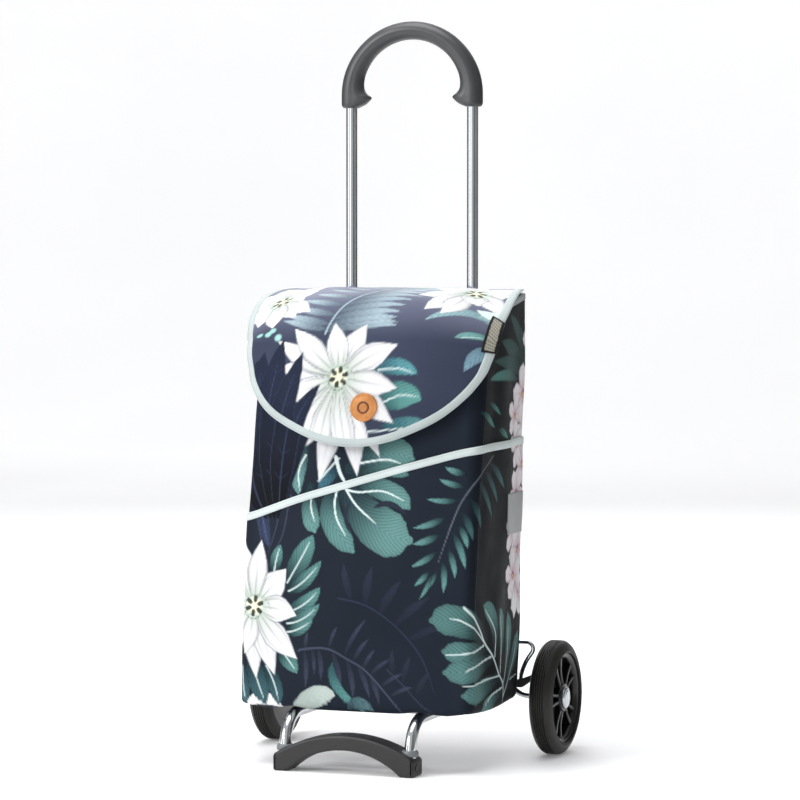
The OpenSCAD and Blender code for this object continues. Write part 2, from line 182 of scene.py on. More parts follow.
def cloth(name, attr=None, col="262b3b", pitch=1.1, weave=0.35, rough=0.6, sheen=0.25, twill=False, stitch=None, var=0.1, dist=0.0003, spec=0.1):
    """Woven cloth; attr is the vertex colour that carries the print, and 'fab' the cloth's own coordinates in mm."""
    k = Nodes(name)
    fab = k.add("Attribute", attribute_name="fab")
    sep = k.add("SeparateXYZ")
    k.link(fab.outputs["Vector"], sep.inputs[0])
    u, v = sep.outputs[0], sep.outputs[1]
    f = 2 * math.pi / pitch
    if twill:
        w = k.math("SINE", k.math("MULTIPLY", k.math("ADD", u, v), f))
        w2 = k.math("SINE", k.math("MULTIPLY", k.math("SUBTRACT", u, v), f * 0.5))
        w = k.math("ADD", w, k.math("MULTIPLY", w2, 0.35))
    else:
        w = k.math("MULTIPLY", k.math("SINE", k.math("MULTIPLY", u, f)), k.math("SINE", k.math("MULTIPLY", v, f)))
    height = k.math("MULTIPLY_ADD", w, 0.5)
    height.node.inputs[2].default_value = 0.5
    if attr:
        base = k.add("Attribute", attribute_name=attr).outputs["Color"]
    else:
        rgb = k.ramp(k.noise(22, 4), lin(col) * (1 - var), np.minimum(lin(col) * (1 + var), 1))
        base = rgb
    # painted shade in the hollows between threads, and slow colour drift, both small
    drift_and_thread_shade = k.math("MULTIPLY", k.range(k.noise(16, 3), 0.93, 1.07), k.range(height, 0.9, 1.06, 0.0, 1.0))
    hsv = k.add("HueSaturation")
    k.link(base, hsv.inputs["Color"])
    k.link(drift_and_thread_shade, hsv.inputs["Value"])
    colour = hsv.outputs[0]
    total = height
    if stitch:
        # rows of thread: (v position, stitch pitch)
        mask = None
        for row, step in stitch:
            d = k.math("ABSOLUTE", k.math("SUBTRACT", v, row))
            near = k.math("LESS_THAN", d, 0.42)
            dash = k.math("LESS_THAN", k.math("FRACT", k.math("DIVIDE", u, step)), 0.66)
            one = k.math("MULTIPLY", near, dash)
            mask = one if mask is None else k.math("MAXIMUM", mask, one)
        mix = k.add("Mix", data_type="RGBA")
        k.link(k.math("MULTIPLY", mask, 0.55), mix.inputs[0])
        k.link(colour, mix.inputs[6])
        mix.inputs[7].default_value = (*(lin(col) * 0.35 + 0.03), 1)
        colour = mix.outputs[2]
        total = k.math("ADD", height, k.math("MULTIPLY", mask, 1.5))
    k.link(colour, k.b.inputs["Base Color"])
    fine = k.bump(total, weave, dist)
    crease = k.bump(k.noise(13, 4, rough=0.6), 0.22, 0.004, fine)
    k.link(crease, k.b.inputs["Normal"])
    k.link(k.range(k.noise(30, 3), rough - 0.05, rough + 0.06), k.b.inputs["Roughness"])
    k.set(Sheen_Weight=sheen, Sheen_Roughness=0.45, Specular_IOR_Level=spec)
    return k.m


M["print"] = cloth("printed_fabric", attr="pc", rough=0.52, sheen=0.03, spec=0.07)
M["plain"] = cloth("plain_fabric", col="1e2333", rough=0.58, sheen=0.04)
M["lining"] = cloth("grey_lining", col="85898d", pitch=1.4, rough=0.7, sheen=0.1)
M["tape"] = cloth("binding_tape", col="ccd6d5", pitch=2.0, weave=0.6, rough=0.6, sheen=0.2, twill=True, var=0.04, stitch=[(8.4, 3.0)], dist=0.0004)
# painted shade: a darker copy of the binding tape for the flap's edge, which catches more light
M["flap_tape"] = cloth("flap_binding_tape_painted_shade", col="b9c3c2", pitch=2.0, weave=0.6, rough=0.6, sheen=0.2, twill=True, var=0.04, stitch=[(8.4, 3.0)], dist=0.0004)
M["edge"] = cloth("dark_tape", col="8d9194", pitch=2.0, weave=0.5, twill=True, stitch=[(7.0, 3.0)])
M["patch"] = cloth("reflective_patch", col="9a9c9d", pitch=2.6, weave=0.5, rough=0.34, sheen=0.05, stitch=[(2.0, 3.0)])
M["tab"] = cloth("woven_tab", attr="pc", pitch=0.9, weave=0.5, rough=0.55, sheen=0.2, twill=True)


def leather():
    k = Nodes("badge_leather")
    a, b = lin("a3632a"), lin("cc8844")
    base = k.ramp(k.noise(70, 5), a, b)
    k.link(base, k.b.inputs["Base Color"])
    v = k.add("TexVoronoi")
    v.inputs["Scale"].default_value = 900
    k.link(k.add("TexCoord").outputs["Object"], v.inputs["Vector"])
    k.link(k.bump(v.outputs["Distance"], 0.3, 0.0004), k.b.inputs["Normal"])
    k.link(k.range(k.noise(50, 3), 0.4, 0.56), k.b.inputs["Roughness"])
    return k.m


M["leather"] = leather()
M["stud"] = plastic("badge_emboss", "6b3512", 0.5, 0.1, 60, 0.2, 900, 0.0003)


# ---------------------------------------------------------------- meshes
def link(name, me, mats, smooth=True):
    for m in mats:
        me.materials.append(M[m] if isinstance(m, str) else m)
    ob = bpy.data.objects.new(name, me)
    bpy.context.scene.collection.objects.link(ob)
    return ob


def normals(P, wrap=False):
    """Unit normals of a grid of points, from its own differences; d/di x d/dj."""
    if wrap:
        di = np.roll(P, -1, 0) - np.roll(P, 1, 0)
    else:
        di = np.gradient(P, axis=0)
    dj = np.gradient(P, axis=1)
    n = np.cross(di, dj)
    n /= np.maximum(np.linalg.norm(n, axis=2, keepdims=True), 1e-12)
    return n


def faces_of(m, n, off=0, flip=False, wrap=False):
    mm = m if wrap else m - 1
    i, j = np.meshgrid(np.arange(mm), np.arange(n - 1), indexing="ij")
    i2 = (i + 1) % m
    f = np.stack([i * n + j, i2 * n + j, i2 * n + j + 1, i * n + j + 1], -1).reshape(-1, 4) + off
    return f[:, ::-1] if flip else f


SHAPE = {}


def shell(name, P, thick, mats, body, fab, pc=None, flip=False, wrap=False, Q=None):
    """P in mm, (m, n, 3); closed shell with its outer side on P, inner side thick mm behind it. mats = outer, inner."""
    m, n = P.shape[:2]
    SHAPE[name] = (m, n)
    if Q is None:
        Q = P - normals(P, wrap) * (-thick if flip else thick)
    co = np.concatenate([P.reshape(-1, 3), Q.reshape(-1, 3)]) / 1000
    k = m * n
    fo = faces_of(m, n, 0, flip, wrap)
    fi = faces_of(m, n, k, not flip, wrap)
    idx = np.arange(k).reshape(m, n)
    rims = []

    def rim(line, rev):
        a, b = line[:-1], line[1:]
        q = np.stack([a, b, b + k, a + k], -1)
        rims.append(q[:, ::-1] if rev else q)

    l0 = np.append(idx[:, 0], idx[0, 0]) if wrap else idx[:, 0]
    l1 = np.append(idx[:, -1], idx[0, -1]) if wrap else idx[:, -1]
    rim(l0, not flip)
    rim(l1, flip)
    if not wrap:
        rim(idx[0, :], flip)
        rim(idx[-1, :], not flip)
    R = np.concatenate(rims)
    F = np.concatenate([fo, fi, R])
    me = bpy.data.meshes.new(name)
    me.from_pydata(co.tolist(), [], F.tolist())
    mi = np.zeros(len(F), np.int32)
    mi[len(fo):] = 1 if len(mats) > 1 else 0
    me.polygons.foreach_set("material_index", mi)
    sm = np.ones(len(F), bool)
    sm[len(fo) + len(fi):] = False
    me.polygons.foreach_set("use_smooth", sm)
    if pc is None:
        pc = np.tile(lin("262b3b"), (k, 1))
    col = np.ones((2 * k, 4), np.float32)
    col[:k, :3] = pc.reshape(-1, 3)
    col[k:, :3] = pc.reshape(-1, 3)
    a = me.attributes.new("pc", "FLOAT_COLOR", "POINT")
    a.data.foreach_set("color", col.ravel())
    fb = np.zeros((2 * k, 3), np.float32)
    fb[:k, :2] = fab.reshape(-1, 2)
    fb[k:, :2] = fab.reshape(-1, 2)
    a = me.attributes.new("fab", "FLOAT_VECTOR", "POINT")
    a.data.foreach_set("vector", fb.ravel())
    me.validate()
    ob = link(name, me, mats)
    if body:
        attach(ob, body)
    return ob


def loops(name, P, mats, body, fab=None, pc=None, flip=False, cap=True, closed_path=False):
    """A tube of closed sections: P (m sections, n points, 3) in mm."""
    m, n = P.shape[:2]
    co = P.reshape(-1, 3) / 1000
    mm = m if closed_path else m - 1
    i, j = np.meshgrid(np.arange(mm), np.arange(n), indexing="ij")
    i2, j2 = (i + 1) % m, (j + 1) % n
    F = np.stack([i * n + j, i2 * n + j, i2 * n + j2, i * n + j2], -1).reshape(-1, 4)
    F = (F[:, ::-1] if flip else F).tolist()
    if cap and not closed_path:
        a, b = list(range(n)), list(range((m - 1) * n, m * n))
        F += [a if not flip else a[::-1], b[::-1] if not flip else b]
    me = bpy.data.meshes.new(name)
    me.from_pydata(co.tolist(), [], F)
    sm = np.ones(len(F), bool)
    if cap and not closed_path:
        sm[-2:] = False
    me.polygons.foreach_set("use_smooth", sm)
    k = m * n
    fb = np.zeros((k, 3), np.float32)
    if fab is not None:
        fb[:, :2] = fab.reshape(-1, 2)
    a = me.attributes.new("fab", "FLOAT_VECTOR", "POINT")
    a.data.foreach_set("vector", fb.ravel())
    if pc is not None:
        col = np.ones((k, 4), np.float32)
        col[:, :3] = pc.reshape(-1, 3)
        a = me.attributes.new("pc", "FLOAT_COLOR", "POINT")
        a.data.foreach_set("color", col.ravel())
    me.validate()
    bm = bmesh.new()
    bm.from_mesh(me)
    bmesh.ops.recalc_face_normals(bm, faces=bm.faces)
    bm.to_mesh(me)
    bm.free()
    ob = link(name, me, mats)
    if body:
        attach(ob, body)
    return ob


def lathe(profile, n=96, axis="x", at=(0, 0, 0), mirror=1):
    """Turns (along, radius) points round an axis; gives (m, n, 3) sections in mm."""
    th = np.linspace(0, 2 * np.pi, n, endpoint=False)
    pr = np.asarray(profile, float)
    a = pr[:, 0][:, None] * np.ones(n)
    r = pr[:, 1][:, None]
    if axis == "x":
        P = np.stack([a * mirror, r * np.cos(th), r * np.sin(th)], -1)
    else:
        P = np.stack([r * np.cos(th), r * np.sin(th), a], -1)
    return P + np.asarray(at, float)


def lathe_obj(name, profile, mats, body, n=96, axis="x", at=(0, 0, 0), mirror=1, flip=False):
    """A closed ring: the profile's last point joins its first."""
    P = lathe(profile, n, axis, at, mirror)
    P = np.transpose(P, (1, 0, 2))
    return loops(name, P, mats, body, closed_path=True, flip=flip)


def soften(ob, width, seg=3, angle=30):
    b = ob.modifiers.new("edge", "BEVEL")
    b.width = width / 1000
    b.segments = seg
    b.limit_method = "ANGLE"
    b.angle_limit = math.radians(angle)
    b.harden_normals = False
    return ob


def smooth_by_angle(ob, deg=35):
    me = ob.data
    for p in me.polygons:
        p.use_smooth = True
    bm = bmesh.new()
    bm.from_mesh(me)
    for e in bm.edges:
        if len(e.link_faces) == 2 and e.calc_face_angle(0) > math.radians(deg):
            e.smooth = False
    bm.to_mesh(me)
    bm.free()


# ---------------------------------------------------------------- print painter
PROF = {
    "petal": ([0, .12, .3, .48, .64, .8, .92, 1], [.30, .55, .86, 1, .86, .52, .2, 0]),
    "leaf": ([0, .1, .3, .55, .78, .92, 1], [.06, .5, .92, 1, .74, .36, 0]),
    "finger": ([0, .2, .5, .78, .92, 1], [.45, .7, .97, 1, .72, .2]),
    "blade": ([0, .15, .4, .7, .9, 1], [.12, .7, 1, .8, .35, 0]),
    "line": ([0, .1, .8, 1], [1, 1, .8, .3]),
    "blob": ([0, .5, 1], [1, 1, 1]),
}


def bez(p0, pm, p1, n=15):
    p0, pm, p1 = (np.asarray(p, float) for p in (p0, pm, p1))
    c = 2 * pm - (p0 + p1) / 2
    t = np.linspace(0, 1, n)[:, None]
    return (1 - t) ** 2 * p0 + 2 * t * (1 - t) * c + t ** 2 * p1


def spline(pts, k=7):
    p = np.asarray(pts, float)
    if len(p) < 3:
        return p
    q = np.vstack([2 * p[0] - p[1], p, 2 * p[-1] - p[-2]])
    out = []
    for i in range(1, len(q) - 2):
        t = np.linspace(0, 1, k, endpoint=False)[:, None]
        a, b, c, d = q[i - 1], q[i], q[i + 1], q[i + 2]
        out.append(0.5 * ((2 * b) + (c - a) * t + (2 * a - 5 * b + 4 * c - d) * t ** 2 + (3 * b - a - 3 * c + d) * t ** 3))
    return np.vstack(out + [p[-1:]])


class Paint:
    def __init__(self, U, V, ground):
        self.U, self.V = U.ravel(), V.ravel()
        self.c = np.tile(ground, (self.U.size, 1)).astype(float)

    def rib(self, pts, w, prof="leaf", fn=None, alpha=1.0, soft=1.0):
        pts = np.asarray(pts, float)
        lo, hi = pts.min(0) - w - 2, pts.max(0) + w + 2
        idx = np.nonzero((self.U > lo[0]) & (self.U < hi[0]) & (self.V > lo[1]) & (self.V < hi[1]))[0]
        if not len(idx):
            return
        U, V = self.U[idx], self.V[idx]
        best = np.full(len(idx), 1e18)
        T = np.zeros(len(idx))
        S = np.ones(len(idx))
        n = len(pts) - 1
        for k in range(n):
            a, b = pts[k], pts[k + 1]
            ab = b - a
            L2 = max(ab @ ab, 1e-9)
            t = np.clip(((U - a[0]) * ab[0] + (V - a[1]) * ab[1]) / L2, 0, 1)
            dx, dy = U - (a[0] + t * ab[0]), V - (a[1] + t * ab[1])
            d2 = dx * dx + dy * dy
            m = d2 < best
            best[m] = d2[m]
            T[m] = (k + t[m]) / n
            S[m] = np.sign(ab[0] * dy - ab[1] * dx)[m]
        d = np.sqrt(best)
        hw = w * np.interp(T, *PROF[prof])
        mask = np.clip((hw - d) / soft + 0.5, 0, 1) * (alpha(T) if callable(alpha) else alpha)
        keep = mask > 0.003
        if not keep.any():
            return
        idx, T, d, hw, S, mask = idx[keep], T[keep], d[keep], hw[keep], S[keep], mask[keep]
        L = np.linalg.norm(np.diff(pts, axis=0), axis=1).sum()
        col = fn(T, S * d / np.maximum(hw, 0.6), d, L) if callable(fn) else np.tile(fn, (len(T), 1))
        self.c[idx] = self.c[idx] * (1 - mask[:, None]) + col * mask[:, None]

    def shape(self, p0, pm, p1, w, prof, fn, alpha=1.0, soft=1.0):
        self.rib(bez(p0, pm, p1), w, prof, fn, alpha, soft)

    def line(self, pts, w, col, alpha=1.0):
        self.rib(spline(pts), w, "line", col, alpha, 0.9)

    def dot(self, u, v, r, col, alpha=1.0, soft=1.0):
        self.rib([(u - 0.05, v), (u + 0.05, v)], r, "blob", col, alpha, soft)


WHITE = lin("e6e6e8")
VEIN = lin("d5e4e4")


def petal(tint="93a394", lines=2.6, white=WHITE, dark=0.5):
    t0 = lin(tint)

    def fn(t, r, d, L):
        base = white * (0.97 + 0.03 * t)[:, None]
        k = np.clip(1 - t / 0.5, 0, 1)[:, None] * 0.8
        base = base * (1 - k) + t0 * k
        s = np.maximum(0, np.cos(r * np.pi * lines)) ** 3 * np.clip(1.0 - t * 1.05, 0, 1)
        base = base * (1 - dark * s)[:, None]
        side = np.clip(r * 0.9, 0, 1) ** 2 * 0.16
        base = base * (1 - side)[:, None]
        edge = np.clip((np.abs(r) - 0.75) * 2.2, 0, 1) * 0.10
        return base * (1 - edge)[:, None]
    return fn


def leaf(bright="648f8c", dark="1f3138", stripe=0.15, pitch=4.3, edge=0.3):
    b, k0 = lin(bright), lin(dark)

    def fn(t, r, d, L):
        s = np.clip((t - 0.05) / 0.75, 0, 1)
        s = s * s * (3 - 2 * s)
        base = k0 * (1 - s)[:, None] + b * s[:, None]
        w = 0.5 + 0.5 * np.sin(2 * np.pi * (t * L * 0.5 - d * 0.9) / pitch)
        base = base * (1.08 - 2.6 * stripe * w ** 2.2)[:, None]
        return base * (1 - edge * np.abs(r) ** 4)[:, None]
    return fn


def flower(p, c, tips, w=20, centre=True, tint="b4c0b2", start=0.10):
    c = np.asarray(c, float)
    for k, tip in enumerate(tips):
        tip = np.asarray(tip[:2], float)
        v = tip - c
        n = np.array([-v[1], v[0]]) / np.linalg.norm(v)
        bend = ((k * 37) % 7 - 3) * 1.1
        ww = tips[k][2] if len(tips[k]) > 2 else w
        # thin shadow line under each petal, then the petal
        p.shape(c + v * start, c + v * 0.55 + n * bend, tip + v * 0.01, ww + 1.5, "petal", lin("7b818c"), 0.8, 1.6)
        p.shape(c + v * start, c + v * 0.55 + n * bend, tip, ww, "petal", petal(tint, 2.2 + (k % 3) * 0.4))
    if centre:
        heart(p, c)


def heart(p, c, s=1.0):
    cu, cv = c
    p.dot(cu, cv, 19 * s, lin("b9c9be"), 0.55, 12)
    for k in range(34):
        a = k * 2.399
        r = (9 + 15 * ((k * 0.618) % 1)) * s
        p.dot(cu + 1 + r * math.cos(a), cv - 5 * s + r * math.sin(a), 0.9 * s, lin("2f3f3c") if k % 3 else lin("6f9a7a"), 0.75)
    p.dot(cu, cv, 12.5 * s, lin("dfe3cf"), 0.9, 4)
    for k in range(6):
        a = 0.35 + k * math.pi / 3
        q = np.array([cu + 8.0 * s * math.cos(a), cv + 8.0 * s * math.sin(a)])
        e = np.array([cu + 11.8 * s * math.cos(a), cv + 11.8 * s * math.sin(a)])
        p.rib([q, e], 3.1 * s, "blob", lin("1d2321"), 0.95)
    for k in range(6):
        a = 0.87 + k * math.pi / 3
        p.line([(cu, cv), (cu + 13 * s * math.cos(a), cv + 13 * s * math.sin(a))], 1.1 * s, lin("efe9c6"))
    p.dot(cu, cv, 2.4 * s, lin("f2eccb"))


def orchid(p, u, v, s, turn, pink="d6b3c0"):
    base = petal("c9a9b4", 2.2, lin("e2dde0"), 0.3)
    for k in range(5):
        a = turn + k * 2 * math.pi / 5
        tip = (u + s * math.cos(a), v + s * math.sin(a))
        mid = (u + s * 0.55 * math.cos(a + 0.12), v + s * 0.55 * math.sin(a + 0.12))
        p.shape((u, v), mid, tip, s * 0.36, "finger", lin("b9a9b6"), 0.7)
        p.shape((u, v), mid, tip, s * 0.33, "finger", base)
        p.line([(u, v), mid], 1.0, lin(pink), 0.7)
    p.dot(u, v, s * 0.15, lin("9b5670"), 0.85, 2)
    p.dot(u, v - s * 0.05, s * 0.07, lin("e6c26c"))


def frond(p, rachis, blades, w, fn, rach_col, rw=1.0, alpha=1.0):
    for (b, t, ww) in blades:
        b, t = np.asarray(b, float), np.asarray(t, float)
        d = t - b
        n = np.array([-d[1], d[0]]) * 0.05
        p.shape(b, (b + t) / 2 + n, t, ww or w, "blade", fn, alpha)
    p.line(rachis, rw, rach_col, 0.9)


def dark_leaves(p, root, tips, w=17):
    for k, tip in enumerate(tips):
        root_, tip_ = np.asarray(root, float), np.asarray(tip, float)
        d = tip_ - root_
        n = np.array([-d[1], d[0]]) * (0.12 if k % 2 else -0.1)
        mid = (root_ + tip_) / 2 + n
        p.shape(root, mid, tip, w + 1.4, "leaf", lin("414b66"), 0.7, 1.5)
        p.shape(root, mid, tip, w, "leaf", leaf("20273a", "12141c", 0.10, 5.0, 0.1))
        p.rib(bez(root, mid, tip)[1:13], 0.8, "line", lin("4d5978"), 0.75)
        q = bez(root, mid, tip)
        for j in range(3, 12, 2):
            a = q[j]
            t = q[j + 1] - q[j]
            t /= np.linalg.norm(t)
            m = np.array([-t[1], t[0]])
            for s in (-1, 1):
                p.line([a, a + t * 7 + m * s * w * 0.6], 0.55, lin("39435e"), 0.55)


GROUND = lin("1c232e")


def monstera_low(p):
    teal = leaf("628d8a", "22363d")
    # upper side, above the pocket edge
    p.shape((-12, 410), (34, 431), (76, 425), 21, "finger", teal)
    p.shape((-8, 398), (34, 410), (72, 404), 9, "finger", leaf("577f7e", "21343b"))
    p.shape((-76, 448), (-90, 412), (-87, 372), 13, "leaf", teal)
    p.shape((-31, 412), (-43, 398), (-58, 382), 9, "leaf", leaf("3f6a78", "243a49"))
    # lobes below the edge
    p.shape((-16, 388), (36, 384), (76, 360), 15, "finger", teal)
    p.shape((-12, 384), (28, 336), (78, 316), 31, "finger", leaf("648f8c", "24383f", 0.15, 4.6, 0.25))
    p.shape((26, 358), (50, 364), (73, 350), 4.2, "blade", lin("262c3a"))
    p.shape((-26, 386), (-36, 346), (-2, 299), 17, "finger", leaf("5f8a88", "21343b"))
    p.shape((-8, 366), (-14, 345), (-6, 322), 3.2, "blade", lin("262c3a"))
    p.shape((-70, 384), (-68, 352), (-59, 324), 12.5, "finger", teal)
    for pts, w in [
        ([(-34, 425), (-27, 405), (-17, 389)], 2.6), ([(-58, 392), (-34, 419), (-28, 424)], 1.3),
        ([(-28, 382), (-31, 363), (-27, 342), (-13, 319)], 1.4), ([(-17, 385), (1, 361), (30, 337)], 1.5),
        ([(-15, 382), (4, 379), (38, 381), (69, 369)], 1.4), ([(-3, 417), (38, 423.6), (60, 419)], 1.4),
        ([(-79, 427), (-87, 412), (-89, 398), (-86, 378)], 1.2), ([(-66, 376), (-66, 356), (-60, 338)], 1.2),
    ]:
        p.line(pts, w, VEIN)


def monstera_side(p, s=1):
    """The leaf at the lower right corner, half on the front and half on the side."""
    f = lambda pts: [(s * a, b) for a, b in pts]
    dk = leaf("557c7a", "182529", 0.16, 4.6)
    for a, b, c, w in [
        ((212, 178), (158, 206), (114, 209), 21), ((216, 168), (168, 166), (130, 168), 14.5),
        ((236, 152), (182, 143), (132, 139), 16.5), ((262, 124), (206, 113), (158, 108), 15),
        ((281, 106), (240, 92), (206, 82), 12), ((245, 155), (240, 200), (206, 226), 13),
        ((262, 130), (274, 180), (262, 215), 11), ((283, 114), (306, 158), (304, 206), 12),
        ((290, 100), (330, 138), (346, 176), 12),
    ]:
        (a, b, c) = f([a, b, c])
        p.shape(a, b, c, w, "finger", dk)
    for pts, w in [
        ([(157, 227), (195, 192), (213, 174), (239, 154), (261, 127), (283, 109), (288, 84)], 1.7),
        ([(213, 174), (158, 207), (138, 212)], 1.2), ([(209, 172), (152, 164), (133, 163)], 1.2),
        ([(234, 154), (173, 146), (160, 140)], 1.2), ([(261, 125), (215, 124), (157, 121)], 1.2),
        ([(279, 107), (241, 101), (217, 89)], 1.2), ([(246, 153), (245, 187), (210, 221)], 1.1),
        ([(266, 129), (271, 171), (265, 207)], 1.1), ([(283, 113), (304, 152), (306, 189)], 1.1),
        ([(289, 95), (331, 135), (343, 163)], 1.1), ([(319, 113), (350, 117)], 1.0),
    ]:
        p.line(f(pts), w, VEIN, 0.9)


def palm(p, s=1):
    fn = leaf("5f8c8a", "1e3037", 0.10, 4.0, 0.6)
    dim = leaf("3d5f60", "1d2c33", 0.08, 3.0, 0.6)
    B = [((152, 406), (126, 414), 6), ((151, 389), (119, 398), 5.5), ((144, 371), (104, 372), 5), ((128, 348), (88, 334), 6),
         ((121, 325), (87, 312), 6.5), ((118, 302), (85, 282), 5.5), ((108, 276), (90, 257), 5),
         ((146, 338), (158, 309), 5.5), ((138, 328), (155, 284), 6), ((133, 306), (143, 270), 5.5), ((126, 289), (128, 250), 5.5),
         ((119, 276), (103, 250), 4), ((113, 273), (97, 240), 4)]
    B = [(b, tuple(np.add(b, np.subtract(t, b) * 1.1)), w * 0.82) for b, t, w in B]
    frond(p, [(s * a, b) for a, b in [(215, 428), (175, 405), (151, 374), (138, 344), (120, 287)]],
          [((s * b[0], b[1]), (s * t[0], t[1]), w) for b, t, w in B], 5, fn, lin("68717c"), 0.9)
    B = [((170, 396), (221, 343), 6), ((160, 372), (182, 332), 6), ((190, 408), (240, 362), 6), ((205, 418), (262, 380), 6), ((150, 355), (165, 318), 5)]
    frond(p, [(s * 150, 374), (s * 152, 376)], [((s * b[0], b[1]), (s * t[0], t[1]), w) for b, t, w in B], 5, dim, lin("4a525c"), 0.6)


def side_group(p, s):
    """Orchids and dark leaves on a side panel; s is +1 on the right side."""
    dk = leaf("35504d", "1c2a2b", 0.16, 4.2, 0.3)
    for a, b, c, w in [((352, 532), (292, 562), (228, 583), 15), ((352, 530), (290, 548), (205, 556), 12), ((350, 540), (310, 585), (262, 618), 12)]:
        p.shape((s * a[0], a[1]), (s * b[0], b[1]), (s * c[0], c[1]), w, "leaf", dk)
    p.shape((s * 305, 527), (s * 250, 536), (s * 192, 531), 8, "leaf", leaf("4f7d76", "2c4a48"))
    p.shape((s * 300, 446), (s * 322, 436), (s * 352, 428), 15, "leaf", leaf("34494a", "1e2b2d"))
    for k, (u, v, r) in enumerate([(330, 508, 40), (300, 478, 30), (345, 462, 36), (312, 438, 32), (342, 410, 36), (318, 372, 34), (345, 338, 38),
                                   (312, 318, 32), (338, 292, 36), (322, 258, 34), (342, 230, 30), (350, 590, 30)]):
        orchid(p, s * u, v, r, 0.5 + k * 0.83)
    p.shape((s * 330, 245), (s * 331, 222), (s * 328, 196), 13, "petal", petal("c79fb0"))
    for a, b, w in [((170, 488), (219, 465), 5), ((232, 462), (270, 448), 5), ((196, 500), (236, 482), 4)]:
        p.shape((s * a[0], a[1]), (s * (a[0] + b[0]) / 2, (a[1] + b[1]) / 2 + 2), (s * b[0], b[1]), w, "blade", leaf("4c7f78", "24403f"))


def big_flower(p):
    c = (-20.3, 535.9)
    p.dot(c[0] + 2, c[1] - 6, 40, lin("7d968a"), 0.8, 34)
    flower(p, c, [(-118, 545, 15), (-108, 500, 15), (-90, 432, 15), (-121, 589, 15), (30, 427, 14), (62, 474, 17), (-93, 606, 17),
                  (-57, 391, 17), (-1, 400, 17), (16, 609, 16.5), (62, 582, 17.5), (-31, 611, 16), (65, 522, 17.5)], 17)


def foliage_front(p):
    """Plain dark indigo leaves that stand in front of the big flower, over its left side."""
    L = [((-112, 350), (-92, 450), (-47, 526), 14), ((-135, 340), (-176, 430), (-172, 516), 24), ((-128, 340), (-150, 460), (-144, 572), 26),
         ((-122, 340), (-130, 470), (-110, 590), 24), ((-116, 340), (-110, 460), (-76, 570), 20)]
    for a, b, c, w in L:
        p.shape(a, b, c, w + 1.5, "leaf", lin("2c354b"), 0.8, 1.6)
        p.shape(a, b, c, w, "leaf", leaf("1f2639", "0b0d13", 0.05, 6.0, 0.1))
        q = bez(a, b, c)
        p.rib(q[1:13], 1.0, "line", lin("3f4a66"), 0.55)
        for k in range(3, 13, 2):
            t = q[k + 1] - q[k]
            t = t / np.linalg.norm(t)
            m = np.array([-t[1], t[0]])
            for sg_ in (-1, 1):
                p.line([q[k], q[k] + t * 10 + m * sg_ * w * 0.55], 0.9, lin("2c3650"), 0.4)


